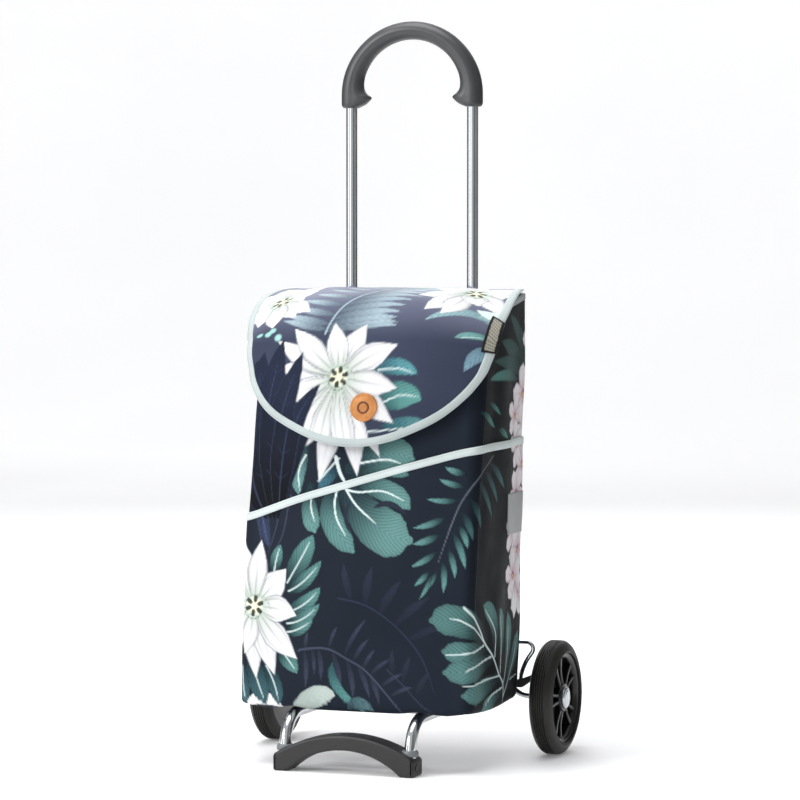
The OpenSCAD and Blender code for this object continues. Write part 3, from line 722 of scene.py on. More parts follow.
def paint_body(U, V):
    p = Paint(U, V, GROUND)
    # slow drift of the ground
    p.c *= (1 + 0.10 * np.sin(p.U / 71 + 1.3) * np.sin(p.V / 57 + 0.4))[:, None]
    # painted shade: the ground darkens toward the sides of the bag, which stand in shadow
    p.c *= (1 - 0.8 * np.clip((np.abs(p.U) - 150) / 40, 0, 1))[:, None]
    dim = leaf("2c3243", "232838", 0.05, 6, 0.5)
    # night-blue fronds at the foot of the front
    R = [(-80, 160), (-71, 163), (-37, 165), (-8, 152), (22, 134), (62, 91), (75, 76)]
    B = [((-69, 163), (-66, 187), 3), ((-34, 165), (-21, 197), 3), ((-12, 156), (21, 208), 3.4), ((1, 149), (24, 181), 3.4), ((15, 139), (33, 167), 3.2),
         ((25, 131), (56, 155), 3.2), ((40, 115), (74, 136), 3), ((52, 102), (88, 118), 3), ((-72, 163), (-70, 110), 4), ((-50, 165), (-47, 121), 4),
         ((-30, 163), (-18, 107), 4.4), ((-9, 152), (0, 98), 4.4), ((6, 144), (24, 100), 4), ((24, 132), (38, 92), 4), ((-60, 164), (-57, 128), 3)]
    frond(p, R, B, 4, leaf("383e50", "282d3b", 0.05, 5, 0.4), lin("444a5c"), 1.5, 0.9)
    B = [((62, 200), (110, 240), 7), ((40, 215), (70, 262), 7), ((20, 226), (28, 280), 7), ((80, 180), (138, 204), 6), ((0, 232), (-14, 284), 6)]
    frond(p, [(-20, 235), (20, 226), (62, 200), (98, 160), (118, 110)], B, 6, dim, lin("2f364c"), 1.0, 0.6)
    B = [((72, 120), (84, 160), 5), ((90, 104), (112, 140), 5), ((60, 130), (58, 168), 5)]
    frond(p, [(50, 140), (72, 120), (100, 92), (118, 82)], B, 5, leaf("2b3141", "222734", 0.05, 6, 0.5), lin("343a4a"), 1.0, 0.7)
    # front, foot: blade and pale leaf ends
    p.shape((-92, 74), (-55, 98), (-26, 101), 15, "leaf", leaf("b9c6c0", "a3b0ab", 0.05, 5, 0.15))
    p.shape((-29, 146), (-22, 112), (20, 78), 7, "blade", leaf("5b8f8e", "35595f"))
    p.shape((-8, 84), (8, 92), (30, 82), 9, "leaf", leaf("55757c", "3c545d"))
    p.shape((-158, 80), (-134, 93), (-104, 80), 9, "leaf", WHITE)
    # dark blue foliage on the left
    for a, b, c, w in [((-158, 560), (-150, 470), (-130, 396), 15), ((-166, 470), (-158, 400), (-150, 345), 10), ((-128, 560), (-116, 460), (-112, 380), 13),
                       ((-148, 400), (-140, 340), (-128, 300), 8)]:
        p.shape(a, b, c, w + 1.3, "leaf", lin("3c4663"), 0.7, 1.5)
        p.shape(a, b, c, w, "leaf", leaf("333d58", "191c28", 0.08, 6, 0.5))
        p.rib(bez(a, b, c)[1:13], 0.8, "line", lin("59658a"), 0.6)
    for a in ([(-150, 345), (-139, 300), (-132, 262)], [(-112, 372), (-118, 330), (-130, 290)], [(-99, 372), (-108, 318), (-124, 290)]):
        p.line(a, 1.0, lin("3d4458"), 0.8)
    monstera_low(p)
    palm(p, 1)
    # leaves beside the lower left flower
    for a, b, c, w in [((-101, 247), (-78, 286), (-61, 319), 15), ((-99, 240), (-72, 256), (-47, 285), 10), ((-119, 262), (-116, 284), (-110, 304), 9),
                       ((-103, 211), (-72, 224), (-47, 249), 11), ((-101, 197), (-74, 204), (-48, 226), 9), ((-100, 185), (-80, 190), (-58, 204), 9),
                       ((-110, 162), (-96, 148), (-82, 129), 12), ((-152, 150), (-142, 116), (-128, 84), 15), ((-132, 142), (-116, 112), (-110, 84), 11),
                       ((-166, 140), (-164, 110), (-158, 84), 10)]:
        p.shape(a, b, c, w, "leaf", leaf("578481", "1e3339") if b[1] > 125 else leaf("3a5b62", "233840"))
        p.rib(bez(a, b, c)[1:13], 1.0, "line", VEIN, 0.9)
    p.dot(-150, 214, 36, lin("7d968a"), 0.8, 30)
    flower(p, (-148.3, 218.8), [(-205, 262, 17), (-212, 205, 17), (-170, 306, 16), (-200, 150, 15), (-144, 119, 13), (-116, 125, 15), (-162, 152, 12),
                                (-82, 149, 17), (-100, 271.5, 19), (-140, 309, 15), (-83, 208, 18)], 17)
    big_flower(p)
    foliage_front(p)
    monstera_side(p, 1)
    for s in (1, -1):
        side_group(p, s)
    # left side: its own group, so the print runs round the bag
    p.shape((-250, 100), (-285, 140), (-300, 190), 17, "leaf", leaf())
    p.line([(-252, 104), (-284, 140), (-298, 182)], 1.2, VEIN)
    p.shape((-250, 96), (-300, 105), (-345, 130), 15, "leaf", leaf())
    flower(p, (-262, 398), [(-190, 410, 18), (-330, 420, 20), (-262, 470, 20), (-215, 455, 18), (-310, 455, 18), (-226, 345, 18), (-300, 345, 19), (-262, 325, 18)], 18)
    p.shape((-180, 360), (-200, 330), (-230, 300), 14, "leaf", leaf())
    p.line([(-182, 358), (-201, 330), (-227, 304)], 1.2, VEIN)
    return p.c


def paint_flap(U, V):
    # painted light: the flap's ground is a lighter copy of the body's navy ground, where the flap faces the lamps
    p = Paint(U, V, lin("3a4053"))
    # painted light: the ground grows lighter toward the top of the flap, standing in for the top light's sheen
    top = np.clip((p.V - 590) / 90, 0, 1)[:, None]
    p.c = p.c * (1 - top) + lin("6a6e83") * top
    p.c *= (1 + 0.08 * np.sin(p.U / 63 + 0.5) * np.sin(p.V / 49 + 2))[:, None]
    # big slate frond over the top
    fn = leaf("9db0ba", "5d6b78", 0.08, 5.0, 0.4)
    B = []
    path = spline([(-44, 596), (-39, 610), (-22, 647), (6, 690), (40, 735), (90, 790)], 9)
    for k in range(2, len(path) - 1, 3):
        b = path[k]
        lean = np.array([104 - k * 0.6, 10 + k * 0.7])
        B.append((b, b + lean, 7.5))
    for k in range(5, len(path) - 1, 4):
        b = path[k]
        B.append((b, b + np.array([-78 + k * 0.3, 26 + k * 0.5]), 7))
    frond(p, path, B, 7, fn, lin("a5bac2"), 1.3, 0.9)
    # foliage that stands where the print is darkest
    dark_leaves(p, (-92, 440), [(-128, 560), (-152, 515), (-100, 580), (-160, 470), (-76, 530), (-140, 440)])
    p.shape((-150, 560), (-160, 520), (-140, 470), 11, "leaf", leaf("3a4968", "1c2233", 0.08, 6))
    # upper left flower, upper right flower
    flower(p, (-137, 696), [(-160, 780, 20), (-98, 770, 20), (-190, 740, 22), (-188, 680, 22), (-166, 650, 19), (-93, 726, 20), (-101, 680, 18), (-76, 638, 17),
                            (-98, 630, 17), (-136, 620, 18)], 20)
    p.shape((176, 668), (139, 672), (92, 625), 9, "leaf", leaf("93b4ba", "7e9ba4"))
    p.shape((150, 668), (172, 684), (190, 676), 8, "leaf", leaf("b7d3d3", "8fb0b4"))
    flower(p, (135, 735), [(175, 800, 20), (105, 805, 20), (178, 752, 20), (181, 700, 19), (69, 684, 17), (87, 648, 17), (109, 649, 16), (150, 700, 18), (70, 750, 20)], 19)
    p.shape((186, 706), (168, 690), (150, 690), 8, "leaf", lin("dcebe6"))
    # teal leaves right
    for a, b, c, w, f in [
        ((196, 618), (170, 622), (133, 601), 14, leaf("79aca9", "4a7579")), ((196, 560), (172, 578), (147, 545), 13, leaf("7d9fb0", "3f5566")),
        ((30, 545), (62, 552), (90, 541), 12, leaf("5f9ba3", "34606c")), ((32, 498), (66, 512), (98, 505), 20, leaf("65a09b", "335a60")),
        ((46, 470), (78, 474), (104, 475), 9, leaf("5b8d92", "35606a")), ((-60, 510), (-50, 517), (-38, 520), 8, leaf("4b8a72", "2f5c4c")),
    ]:
        p.shape(a, b, c, w, "leaf", f)
    for pts in ([(42, 500), (69, 512), (94, 510)], [(22, 461), (37, 463), (85, 468)], [(36, 546), (64, 549), (84, 543)], [(190, 616), (168, 616), (140, 603)]):
        p.line(pts, 1.2, VEIN, 0.9)
    for u, v in ((-159, 611), (-142, 606), (-122, 595), (-134, 612)):
        p.dot(u, v, 6, lin("9fd0cb"), 0.9, 3)
    monstera_low(p)
    big_flower(p)
    foliage_front(p)
    return p.c


# ---------------------------------------------------------------- bag body
ZT = np.arange(40.0, 720.0, 1.0)


def table(zs, ys, sigma=9):
    v = np.interp(ZT, zs, ys)
    if sigma:
        x = np.arange(-3 * sigma, 3 * sigma + 1)
        g = np.exp(-x * x / (2.0 * sigma * sigma))
        v = np.convolve(np.pad(v, len(x) // 2, mode="edge"), g / g.sum(), "valid")
    return lambda z: np.interp(z, ZT, v)


W0, RR = 168.6, 10.0
Yf = table([60, 82.4, 100, 170, 253, 335, 418, 500, 560, 606, 700], [-226.5, -226.5, -226, -223, -219, -208, -195, -184, -178, -177, -176])
Yb = table([60, 82.4, 86, 93, 106, 163, 205, 289, 372, 455, 539, 600, 700], [-42, -40, -36, -30, -26, -21, -19, -15, -10, -3, 3, 4, 2], 4)
Rf = table([60, 400, 500, 560, 700], [13, 14, 24, 30, 30])


def bulge(u, z):
    a = np.abs(u)
    front = 14 * np.clip(1 - (a / 158.0) ** 2, 0, 1) * np.interp(z, [82, 110, 200, 400, 600], [0.05, 0.3, 0.8, 1, 1])
    side = 3.5 * np.sin(np.pi * np.clip((a - 178) / 190.0, 0, 1)) * np.interp(z, [82, 120, 620], [0, 1, 1])
    low = np.interp(z, [82, 120, 560, 640], [0.1, 1, 1, 0.4])
    wr = 0.8 * np.sin(u / 31.0 + z / 47.0 + 1) * np.sin(z / 63.0 - u / 90.0)
    wr += 0.45 * np.sin(u / 14.0 - z / 37.0 + 2) * np.sin(z / 90.0 + u / 55.0)
    sd = np.clip((a - 180) / 30.0, 0, 1) * np.clip((400 - a) / 30.0, 0, 1)
    wr += sd * 1.3 * np.sin((a - 170) / 17.0 + z / 95.0 + 0.7 * np.sign(u)) * np.sin(z / 110.0 + 0.5)
    return front + side + wr * low - 0.9 * low


def arcs(z):
    R = Rf(z)
    a1 = W0 - R
    a2 = a1 + R * np.pi / 2
    a3 = a2 + (Yb(z) - RR) - (Yf(z) + R)
    a4 = a3 + RR * np.pi / 2
    return a1, a2, a3, a4


def ring(u, z, off):
    """Point on the bag's outer surface: u is the way round from the middle of the front, in mm, z the height, off how far outside the cloth."""
    u, z = np.broadcast_arrays(np.asarray(u, float), np.asarray(z, float))
    s, a = np.where(u < 0, -1.0, 1.0), np.abs(u)
    R, yf, yb = Rf(z), Yf(z), Yb(z)
    F = W0 - R
    a1, a2, a3, a4 = arcs(z)
    o = off + bulge(u, z)
    th = np.clip((a - a1) / R, 0, np.pi / 2)
    th2 = np.clip((a - a3) / RR, 0, np.pi / 2)
    X = np.where(a < a1, a, np.where(a < a2, F + (R + o) * np.sin(th), W0 - RR + (RR + o) * np.cos(th2)))
    Y = np.where(a < a2, yf + R - (R + o) * np.cos(th), np.where(a < a3, yf + R + (a - a2), yb - RR + (RR + o) * np.sin(th2)))
    return np.stack([s * X, Y + TY, z], -1)


def sag(u):
    a = np.abs(u)
    f = 3.6 * (1 - np.exp(-((a - 91) / 18.0) ** 2)) * np.clip((158 - a) / 25.0, 0, 1)
    g = 4.0 * np.sin(np.pi * np.clip((a - 172) / 190.0, 0, 1))
    return f + g


def z_low(u):
    return 82.7 - sag(u)


def z_top(u):
    y = ring(u, 600.0 + 0 * u, 0)[..., 1] - TY
    return np.interp(y, [-205, -177, -166, -146, -120, -90, -60, -12, 12], [582, 584, 590, 601, 616, 629, 638, 646, 647])


def rows(u0, fine_from, step, r=7.0, base=0.0, top=None, coarse=10, inset=None):
    """Heights and offsets of a wall's rows, with a rounded lower edge; u0 is (cols,). Gives z, off of shape (rows, cols)."""
    top = z_top(u0) if top is None else top
    lo = z_low(u0) + base
    b = np.linspace(0, np.pi / 2, 6)[:-1][:, None]
    z1, o1 = lo + r * (1 - np.cos(b)), -r * (1 - np.sin(b)) + 0 * lo
    zs = lo + r
    n2 = coarse
    k = np.linspace(0, 1, n2, endpoint=False)[:, None]
    split = np.minimum(fine_from, top - 20)
    z2 = zs + (split - zs) * k
    n3 = max(4, int(round(float(np.max(top - split)) / step)))
    k = np.linspace(0, 1, n3)[:, None]
    z3 = split + (top - split) * k
    z = np.vstack([z1, z2, z3])
    off = np.vstack([o1, 0 * z2, 0 * z3])
    return z, off


STEP = 1.65

# front with its two rounded corners
nc = int(356 / STEP)
f = np.linspace(-1, 1, nc)
u0 = f * 174.0
z, off = rows(u0, 338.0, STEP, base=1.7)
a2 = arcs(z)[1]
U = f[None, :] * a2
P = ring(U, z, off)
bag_front = shell("bag_front_panel", P, 1.6, ["print", "lining"], "bag", np.stack([U, z], -1), paint_body(U, z), flip=True)
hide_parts("bag_front")

SIDE = {}
# sides, each with its rear corner
for s, nm in ((1, "right"), (-1, "left")):
    nc = int(240 / (STEP * 1.1))
    f = np.linspace(0, 1, nc)
    u0 = s * (174.0 + f * 216)
    z, off = rows(u0, 338.0 if s > 0 else 300.0, STEP * 1.1, base=1.7)
    _, a2, _, a4 = arcs(z)
    U = s * (a2 + f[None, :] * (a4 - a2))
    P = ring(U, z, off)
    SIDE[nm] = ob = shell("bag_side_panel_" + nm, P, 1.6, ["print", "lining"], "bag", np.stack([U, z], -1), paint_body(U, z), flip=(s > 0))
    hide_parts("bag_side_" + nm)

# back panel, pulled in between the uprights
x = np.linspace(-1, 1, 61)
X0 = x * (W0 - RR)
zl = 84.4
b = np.linspace(0, np.pi / 2, 6)[:-1]
zz = np.concatenate([zl + 7 * (1 - np.cos(b)), np.linspace(zl + 7, 646, 90)])
oo = np.concatenate([-7 * (1 - np.sin(b)), np.zeros(90)])
X, Z = np.meshgrid(X0, zz)
O = np.repeat(oo[:, None], 61, 1)
yb = Yb(Z)
edge = np.clip((np.abs(X) - 104) / 40.0, 0, 1)
edge = edge * edge * (3 - 2 * edge)
Yk = np.minimum(yb, -10.2) * (1 - edge) + yb * edge + O
wr = 0.9 * np.sin(X / 23.0 + Z / 60.0) * np.sin(Z / 71.0) - 0.9
Yk = Yk + wr * (1 - np.abs(x)[None, :] ** 6) * np.clip((Z - 84) / 40, 0, 1)
P = np.stack([X, Yk + TY, Z], -1)
bag_back = ob = shell("bag_back_panel", P, 1.6, ["plain", "lining"], "bag", np.stack([X, Z], -1), flip=False)
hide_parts("bag_back")

a4b = float(arcs(np.array(84.4))[3])


# bottom: a soft sheet carried by the two base wires, its edge turned up into the walls
def bottom_grid(n1=121, n2=81):
    xm = W0 - 6.9
    pX = np.linspace(-1, 1, n1) * xm
    ax = np.abs(pX)
    yf0, yb0 = float(Yf(84.4)), float(Yb(84.4))
    rf, rb = float(Rf(84.4)) - 7, RR - 7
    yfr = yf0 + 7 + rf - np.sqrt(np.maximum(rf ** 2 - np.clip(ax - (xm - rf), 0, rf) ** 2, 0))
    ybk = yb0 - 7 - rb + np.sqrt(np.maximum(rb ** 2 - np.clip(ax - (xm - rb), 0, rb) ** 2, 0))
    q = np.linspace(0, 1, n2)
    X = np.repeat(pX[:, None], n2, 1)
    Y = yfr[:, None] + (ybk - yfr)[:, None] * q
    drop_f = (84.6 - z_low(pX) - 1.7)[:, None] * np.exp(-(Y - yfr[:, None]) / 11.0)
    us_ = arcs(84.4)[1] + (Y - yf0 - float(Rf(84.4)))
    drop_s = np.clip(84.6 - z_low(us_) - 1.7, 0, None) * np.exp(-(xm - np.abs(X)) / 11.0)
    return np.stack([X, Y + TY, 84.6 - np.maximum(drop_f, drop_s)], -1)


G = bottom_grid()
bag_floor = shell("bag_bottom_sheet", G, 1.4, ["plain", "lining"], "bag", G[..., :2], flip=True)
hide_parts("bag_bottom")

# stiff base board
bm = bmesh.new()
bmesh.ops.create_grid(bm, x_segments=18, y_segments=10, size=0.5)
blo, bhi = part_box("base_board")
for v in bm.verts:
    v.co.x = v.co.x * (bhi.x - blo.x)
    v.co.y = (v.co.y + 0.5) * (bhi.y - blo.y - 0.012) + blo.y + 0.004
    v.co.z = bhi.z + 0.0016 - 0.0006 * math.cos(v.co.x * 9)
bmesh.ops.recalc_face_normals(bm, faces=bm.faces)
me = bpy.data.meshes.new("base_board_plate")
bm.to_mesh(me)
bm.free()
ob = link("base_board_plate", me, ["board"])
sol = ob.modifiers.new("thick", "SOLIDIFY")
sol.thickness = 0.003
sol.offset = -1
soften(ob, 0.8, 2)
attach(ob, "bag")
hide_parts("base_board")


# tape over the bag's upper edge
def tape_u(name, us, edge_z, offo, offi, width, mat, body, cap_r=0.9, inner=None):
    """A folded tape along the ring at height edge_z(us), outside at offo and inside at offi."""
    inner = inner or width * 0.85
    prof = [(offo, -width), (offo + cap_r, -width + 0.7), (offo + cap_r, -1.0), (offo + cap_r * 0.6, 0.3), ((offo + offi) / 2, 0.8),
            (offi - cap_r * 0.6, 0.3), (offi - cap_r, -1.0), (offi - cap_r, -inner + 0.7), (offi, -inner)]
    across = [0, .7, width - 1, width - .4, width + .6, width + 1.4, width + 2, width + 6, width + 8]
    secs, fab = [], []
    for (o, dz), ac in zip(prof, across):
        secs.append(ring(us, edge_z + dz, o))
        fab.append(np.stack([us, np.full_like(us, ac)], -1))
    P = np.stack(secs, 1)
    return loops(name, P, [mat], body, np.stack(fab, 1))


us = np.linspace(-a4b + 1.0, a4b - 1.0, 260)
rim_tape = tape_u("bag_rim_tape", us, z_top(us) + 0.6, 0.1, -1.7, 9, "edge", "bag", 0.7)
xs = np.linspace(-(W0 - RR) + 2, W0 - RR - 2, 60)
yb6 = float(Yb(640.0))
ed = np.clip((np.abs(xs) - 104) / 40.0, 0, 1)
ed = ed * ed * (3 - 2 * ed)
yy = min(yb6, -10.2) * (1 - ed) + yb6 * ed - 0.45
secs, fab = [], []
for dy, dz, ac in [(0.1, -9, 0), (0.8, -8.3, .7), (0.8, -1, 8), (0.3, .4, 9), (-.8, .9, 10), (-1.9, .4, 11), (-2.4, -1, 12), (-2.4, -8, 17), (-1.7, -8.6, 18)]:
    secs.append(np.stack([xs, yy + dy + TY, np.full_like(xs, 646.4 + dz)], -1))
    fab.append(np.stack([xs, np.full_like(xs, ac)], -1))
loops("bag_rim_tape_back", np.stack(secs, 1), ["edge"], "bag", np.stack(fab, 1))


# ---- pocket: a second skin round the front and both sides ----
def z_pocket(u):
    return np.interp(u, [-400, -168, -85, 60, 149, 175, 385], [338, 342, 372, 415, 439.5, 443.5, 447])


def pocket_off(u, z):
    # the open edge stands off a little between its side seams
    k = np.exp(-np.clip(z_pocket(u) - z, 0, None) / 34.0)
    return 2.0 + 2.2 * k * np.clip(1 - (np.abs(u) / 150.0) ** 4, 0, 1)


pocket_parts = []
for nm, lo_, hi_ in (("front", -1, 1), ("side_right", 1, 2), ("side_left", -2, -1)):
    step = STEP if nm != "side_left" else STEP * 1.3
    if nm == "front":
        f = np.linspace(-1, 1, int(358 / step))
        u0 = f * 174.0
    else:
        f = np.linspace(0, 1, int(240 / step))
        if nm == "side_left":
            f = f[::-1]
        u0 = (174.0 + f * 216) * (1 if nm == "side_right" else -1)
    z, off = rows(u0, 95.0, step, base=0.1, top=z_pocket(u0), coarse=2)
    _, a2, _, a4 = arcs(z)
    U = f[None, :] * a2 if nm == "front" else (a2 + f[None, :] * (a4 - a2)) * (1 if nm == "side_right" else -1)
    P = ring(U, z, off + pocket_off(U, z))
    ob = shell("pocket_" + nm, P, 1.2, ["print", "lining"], "bag", np.stack([U, z], -1), paint_body(U, z), flip=True)
    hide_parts("front_pocket")
    pocket_parts.append(ob)

us = np.linspace(-a4b + 8, a4b - 6, 420)
zp = z_pocket(us)
zp = np.convolve(np.pad(zp, 12, mode="edge"), np.ones(25) / 25, "valid")
po = pocket_off(us, zp)
pocket_tape = None
prof = [(0.05, -10.2, 0), (0.75, -9.6, .6), (0.85, -5, 5), (0.8, -1.0, 9.2), (0.5, 0.3, 10.2), (-0.5, 0.75, 11.2), (-1.5, 0.2, 12), (-1.85, -1.0, 13), (-1.8, -7.4, 19), (-1.25, -8.0, 20)]
P = np.stack([ring(us, zp + 0.4 + dz, po + o) for o, dz, ac in prof], 1)
fab = np.stack([np.stack([us, np.full_like(us, ac)], -1) for o, dz, ac in prof], 1)
pocket_tape = loops("pocket_edge_tape", P, ["tape"], "bag", fab)
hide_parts("pocket_binding")

# reflective patch sewn on the right side of the pocket
plo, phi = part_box("side_patch")
zq = np.linspace(plo.z * 1000, phi.z * 1000, 24)
yq0, yq1 = plo.y * 1000 - TY, phi.y * 1000 - TY
f = np.linspace(0, 1, 30)
Z, Fq = np.meshgrid(zq, f, indexing="ij")
a1_, a2_, a3_, a4_ = arcs(Z)
Ua = a2_ + (yq0 - Yf(Z) - Rf(Z))
Ub = a2_ + (yq1 - Yf(Z) - Rf(Z))
Uq = Ua + Fq * (np.minimum(Ub, a4_ - 3) - Ua)
P = ring(Uq, Z, pocket_off(Uq, Z) + 1.1)
patch = ob = shell("side_patch_sheet", P, 0.9, ["patch"], "bag", np.stack([(Uq - Ua), Z - zq[0]], -1), flip=True)
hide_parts("side_patch")

# ---------------------------------------------------------------- flap
FPY = [-13, -60, -105, -140, -170, -195, -213, -223, -228, -229, -229.5, -227.5, -224.5, -222, -220]
FPZ = [652.8, 655.6, 656, 653.5, 647.5, 634.5, 616, 592, 565, 545, 535, 500, 470, 441, 420]
FD = [0, 6, 17, 33, 48, 58, 62, 62, 59, 57.5, 56, 50, 46.5, 45, 44]
_p = spline(np.stack([FPY, FPZ], -1), 24)
_d = spline(np.stack([FD, np.zeros(len(FD))], -1), 24)[:, 0]
_s = np.concatenate([[0], np.cumsum(np.linalg.norm(np.diff(_p, axis=0), axis=1))])
FS = np.linspace(0, _s[-1], 700)
FTY, FTZ, FDD = np.interp(FS, _s, _p[:, 0]), np.interp(FS, _s, _p[:, 1]), np.interp(FS, _s, _d)
_k = np.exp(-np.linspace(-2, 2, 41) ** 2)
_k /= _k.sum()
FDD = np.convolve(np.pad(FDD, 20, mode="edge"), _k, "valid")
_g = np.exp(-np.linspace(-2.2, 2.2, 71) ** 2 / 2)
_g /= _g.sum()
FTY, FTZ = (np.convolve(np.pad(q, 35, mode="reflect", reflect_type="odd"), _g, "valid") for q in (FTY, FTZ))
ty_, tz_ = np.gradient(FTY, FS), np.gradient(FTZ, FS)
tl = np.hypot(ty_, tz_)
FNY, FNZ = -tz_ / tl, ty_ / tl
S545 = float(FS[np.argmin(np.abs(FTZ - 545) + (FTY > -200) * 1e3)])


def flap_at(a, s, h=0.0):
    a, s = np.broadcast_arrays(np.asarray(a, float), np.asarray(s, float))
    T = [np.interp(s, FS, q) for q in (FTY, FTZ, FDD, FNY, FNZ)]
    d = T[2] * (np.abs(a) / 183.0) ** 2.4
    # soft unevenness of the cloth
    d = d + 0.9 * np.sin(a / 37.0 + s / 51.0) * np.sin(s / 83.0 + 0.4) * np.clip(s / 60, 0, 1) + 0.35 * np.sin(a / 15.0 - s / 33.0)
    low = np.clip((s - S545) / 60.0, 0, 1)
    X = a - 6 * low
    P = np.stack([X, T[0] + T[3] * d + TY, T[1] + T[4] * d], -1)
    if np.ndim(h) or h:
        e = 1.0
        Pa = flap_at(a + e, s) - flap_at(a - e, s)
        Ps = flap_at(a, s + e) - flap_at(a, s - e)
        n = np.cross(Ps, Pa)
        n /= np.maximum(np.linalg.norm(n, axis=-1, keepdims=True), 1e-9)
        P = P + n * np.asarray(h)[..., None] if np.ndim(h) else P + n * h
    return P


def to_domain(pt):
    x, y, z = pt
    d = FDD * (abs(x) / 183.0) ** 2.4
    return (x, float(FS[np.argmin((FTY + FNY * d - y) ** 2 + (FTZ + FNZ * d - z) ** 2)]))


# which way is out
_t = flap_at(np.array([0.0]), np.array([S545]), np.array([5.0])) - flap_at(np.array([0.0]), np.array([S545]))
FSIGN = 1.0 if _t[0, 1] < 0 else -1.0

edge_pts = [(171, -13, 652.8), (181, -56, 649), (187.5, -99, 640), (189, -126, 625), (188, -142, 613), (186, -152, 601), (184, -162, 582), (181, -171, 563),
            (175, -177, 545), (168, -184, 527)]
hem_pts = [(168, -184, 527), (156, -194, 511), (149, -197, 502), (126, -206, 482), (89, -216, 462), (47, -220, 447), (0, -222, 441)]
E = np.array([to_domain(p) for p in edge_pts])
E[0, 1] = 0
Hm = np.array([to_domain(p) for p in hem_pts])


def resample(pts, n):
    q = spline(pts, 20)
    l = np.concatenate([[0], np.cumsum(np.linalg.norm(np.diff(q, axis=0), axis=1))])
    t = np.linspace(0, l[-1], n)
    return np.stack([np.interp(t, l, q[:, 0]), np.interp(t, l, q[:, 1])], -1)


full = np.vstack([E, Hm[1:], (Hm[:-1] * [-1, 1])[::-1], (E[:-1] * [-1, 1])[::-1]])
border = resample(full, 900)
# smooth the whole border, ends kept
_k = np.ones(31) / 31
sm = np.stack([np.convolve(np.pad(border[:, i], 15, mode="reflect", reflect_type="odd"), _k, "valid") for i in (0, 1)], -1)
border = sm
bl = np.concatenate([[0], np.cumsum(np.linalg.norm(np.diff(border, axis=0), axis=1))])
iR = int(np.argmin(np.abs(border[:, 0] - 168) + (border[:, 1] < 300) * 1e3))
iL = len(border) - 1 - iR
nr = int(300 / (STEP * 1.05))
ncf = int(352 / (STEP * 1.05))


def along(pts, n):
    l = np.concatenate([[0], np.cumsum(np.linalg.norm(np.diff(pts, axis=0), axis=1))])
    t = np.linspace(0, l[-1], n)
    return np.stack([np.interp(t, l, pts[:, 0]), np.interp(t, l, pts[:, 1])], -1)


right = along(border[:iR + 1], nr)
left = right * [-1, 1]
bottom = along(border[iR:iL + 1][::-1], ncf)
topc = np.stack([np.linspace(left[0, 0], right[0, 0], ncf), np.zeros(ncf)], -1)
pp, qq = np.meshgrid(np.linspace(0, 1, ncf), np.linspace(0, 1, nr), indexing="ij")
pp, qq = pp[..., None], qq[..., None]
C = ((1 - qq) * topc[:, None] + qq * bottom[:, None] + (1 - pp) * left[None] + pp * right[None]
     - ((1 - pp) * (1 - qq) * topc[0] + pp * (1 - qq) * topc[-1] + (1 - pp) * qq * bottom[0] + pp * qq * bottom[-1]))
A, S = C[..., 0], C[..., 1]
P = flap_at(A, S)
Vc = 545 + (S545 - S)
flap = shell("flap_sheet", P, 1.8, ["print", "lining"], "flap", np.stack([A, Vc], -1), paint_flap(A, Vc), flip=True,
             Q=flap_at(A, S, np.full(A.shape, -1.8 * FSIGN)))
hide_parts("flap")

# tape round the flap's free edge
bp = along(border, 640)
tg = np.gradient(bp, axis=0)
tg /= np.linalg.norm(tg, axis=1, keepdims=True)
inw = np.stack([-tg[:, 1], tg[:, 0]], -1)
mid = bp.mean(0)
inw *= np.sign(((mid - bp) * inw).sum(1))[:, None]
# length along the border, measured over the flap's surface
lenb = np.concatenate([[0], np.cumsum(np.linalg.norm(np.diff(flap_at(bp[:, 0], bp[:, 1]), axis=0), axis=1))])


def flap_tape(name, sel, prof, mat, pc=None):
    secs, fab, cols = [], [], []
    for inn, h, ac in prof:
        q = bp[sel] + inw[sel] * inn
        q[:, 1] = np.maximum(q[:, 1], 0.5)
        secs.append(flap_at(q[:, 0], q[:, 1], np.full(len(q), h * FSIGN)))
        fab.append(np.stack([lenb[sel], np.full(len(q), ac)], -1))
        if pc is not None:
            cols.append(pc(lenb[sel] - lenb[sel][0], ac, lenb[sel][-1] - lenb[sel][0]))
    return loops(name, np.stack(secs, 1), [mat], "flap", np.stack(fab, 1), None if pc is None else np.stack(cols, 1))


sel = np.arange(5, len(bp) - 5)
prof = [(10.4, 0.05, 0), (9.8, 0.75, .6), (6, 0.9, 4), (1.5, 0.9, 9), (0, 0.75, 10.4), (-0.9, -0.3, 11.2), (-0.9, -1.5, 12), (0, -2.5, 13), (2, -2.6, 15), (8, -2.5, 21), (8.6, -1.9, 22)]
flap_bind = flap_tape("flap_edge_tape", sel, prof, "flap_tape")
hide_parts("flap_binding")

# woven side tab folded round the tape
c0 = int(np.argmin(np.linalg.norm(flap_at(bp[:320, 0], bp[:320, 1]) - np.array([185, -158.2 + TY, 589.5]), axis=1)))
half = 24.0
i0 = int(np.argmin(np.abs(lenb - (lenb[c0] - half))))
i1 = int(np.argmin(np.abs(lenb - (lenb[c0] + half))))
selt = np.arange(i0, i1 + 1)
ac_list = np.linspace(0, 1, 20)
prof = [(16.0 - 17.6 * k, 1.55 + 0.25 * math.sin(math.pi * k), 17.6 * k) for k in np.linspace(0, 1, 15)]
prof += [(-1.9, 0.6, 18.4), (-2.0, -1.4, 19.6), (-1.6, -2.9, 20.5), (3, -3.3, 24), (15, -3.2, 33), (15.4, -2.6, 34), (15.9, 1.2, 36)]


def tab_colour(l, ac, L):
    light, dark = lin("b9b6a6"), lin("16171a")
    inside = np.clip((l - 2.4) / 0.8, 0, 1) * np.clip((L - 2.4 - l) / 0.8, 0, 1) * (1.0 if 3.2 < ac < 14.4 else 0.0)
    k = inside * (0.62 + 0.38 * np.sin(l * 1.15 + ac * 0.9) * np.sin(l * 0.43 - ac * 1.3))
    return dark * (1 - k)[:, None] + light * k[:, None]


tab = flap_tape("side_tab_woven", selt, prof, "tab", tab_colour)
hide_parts("side_tab")
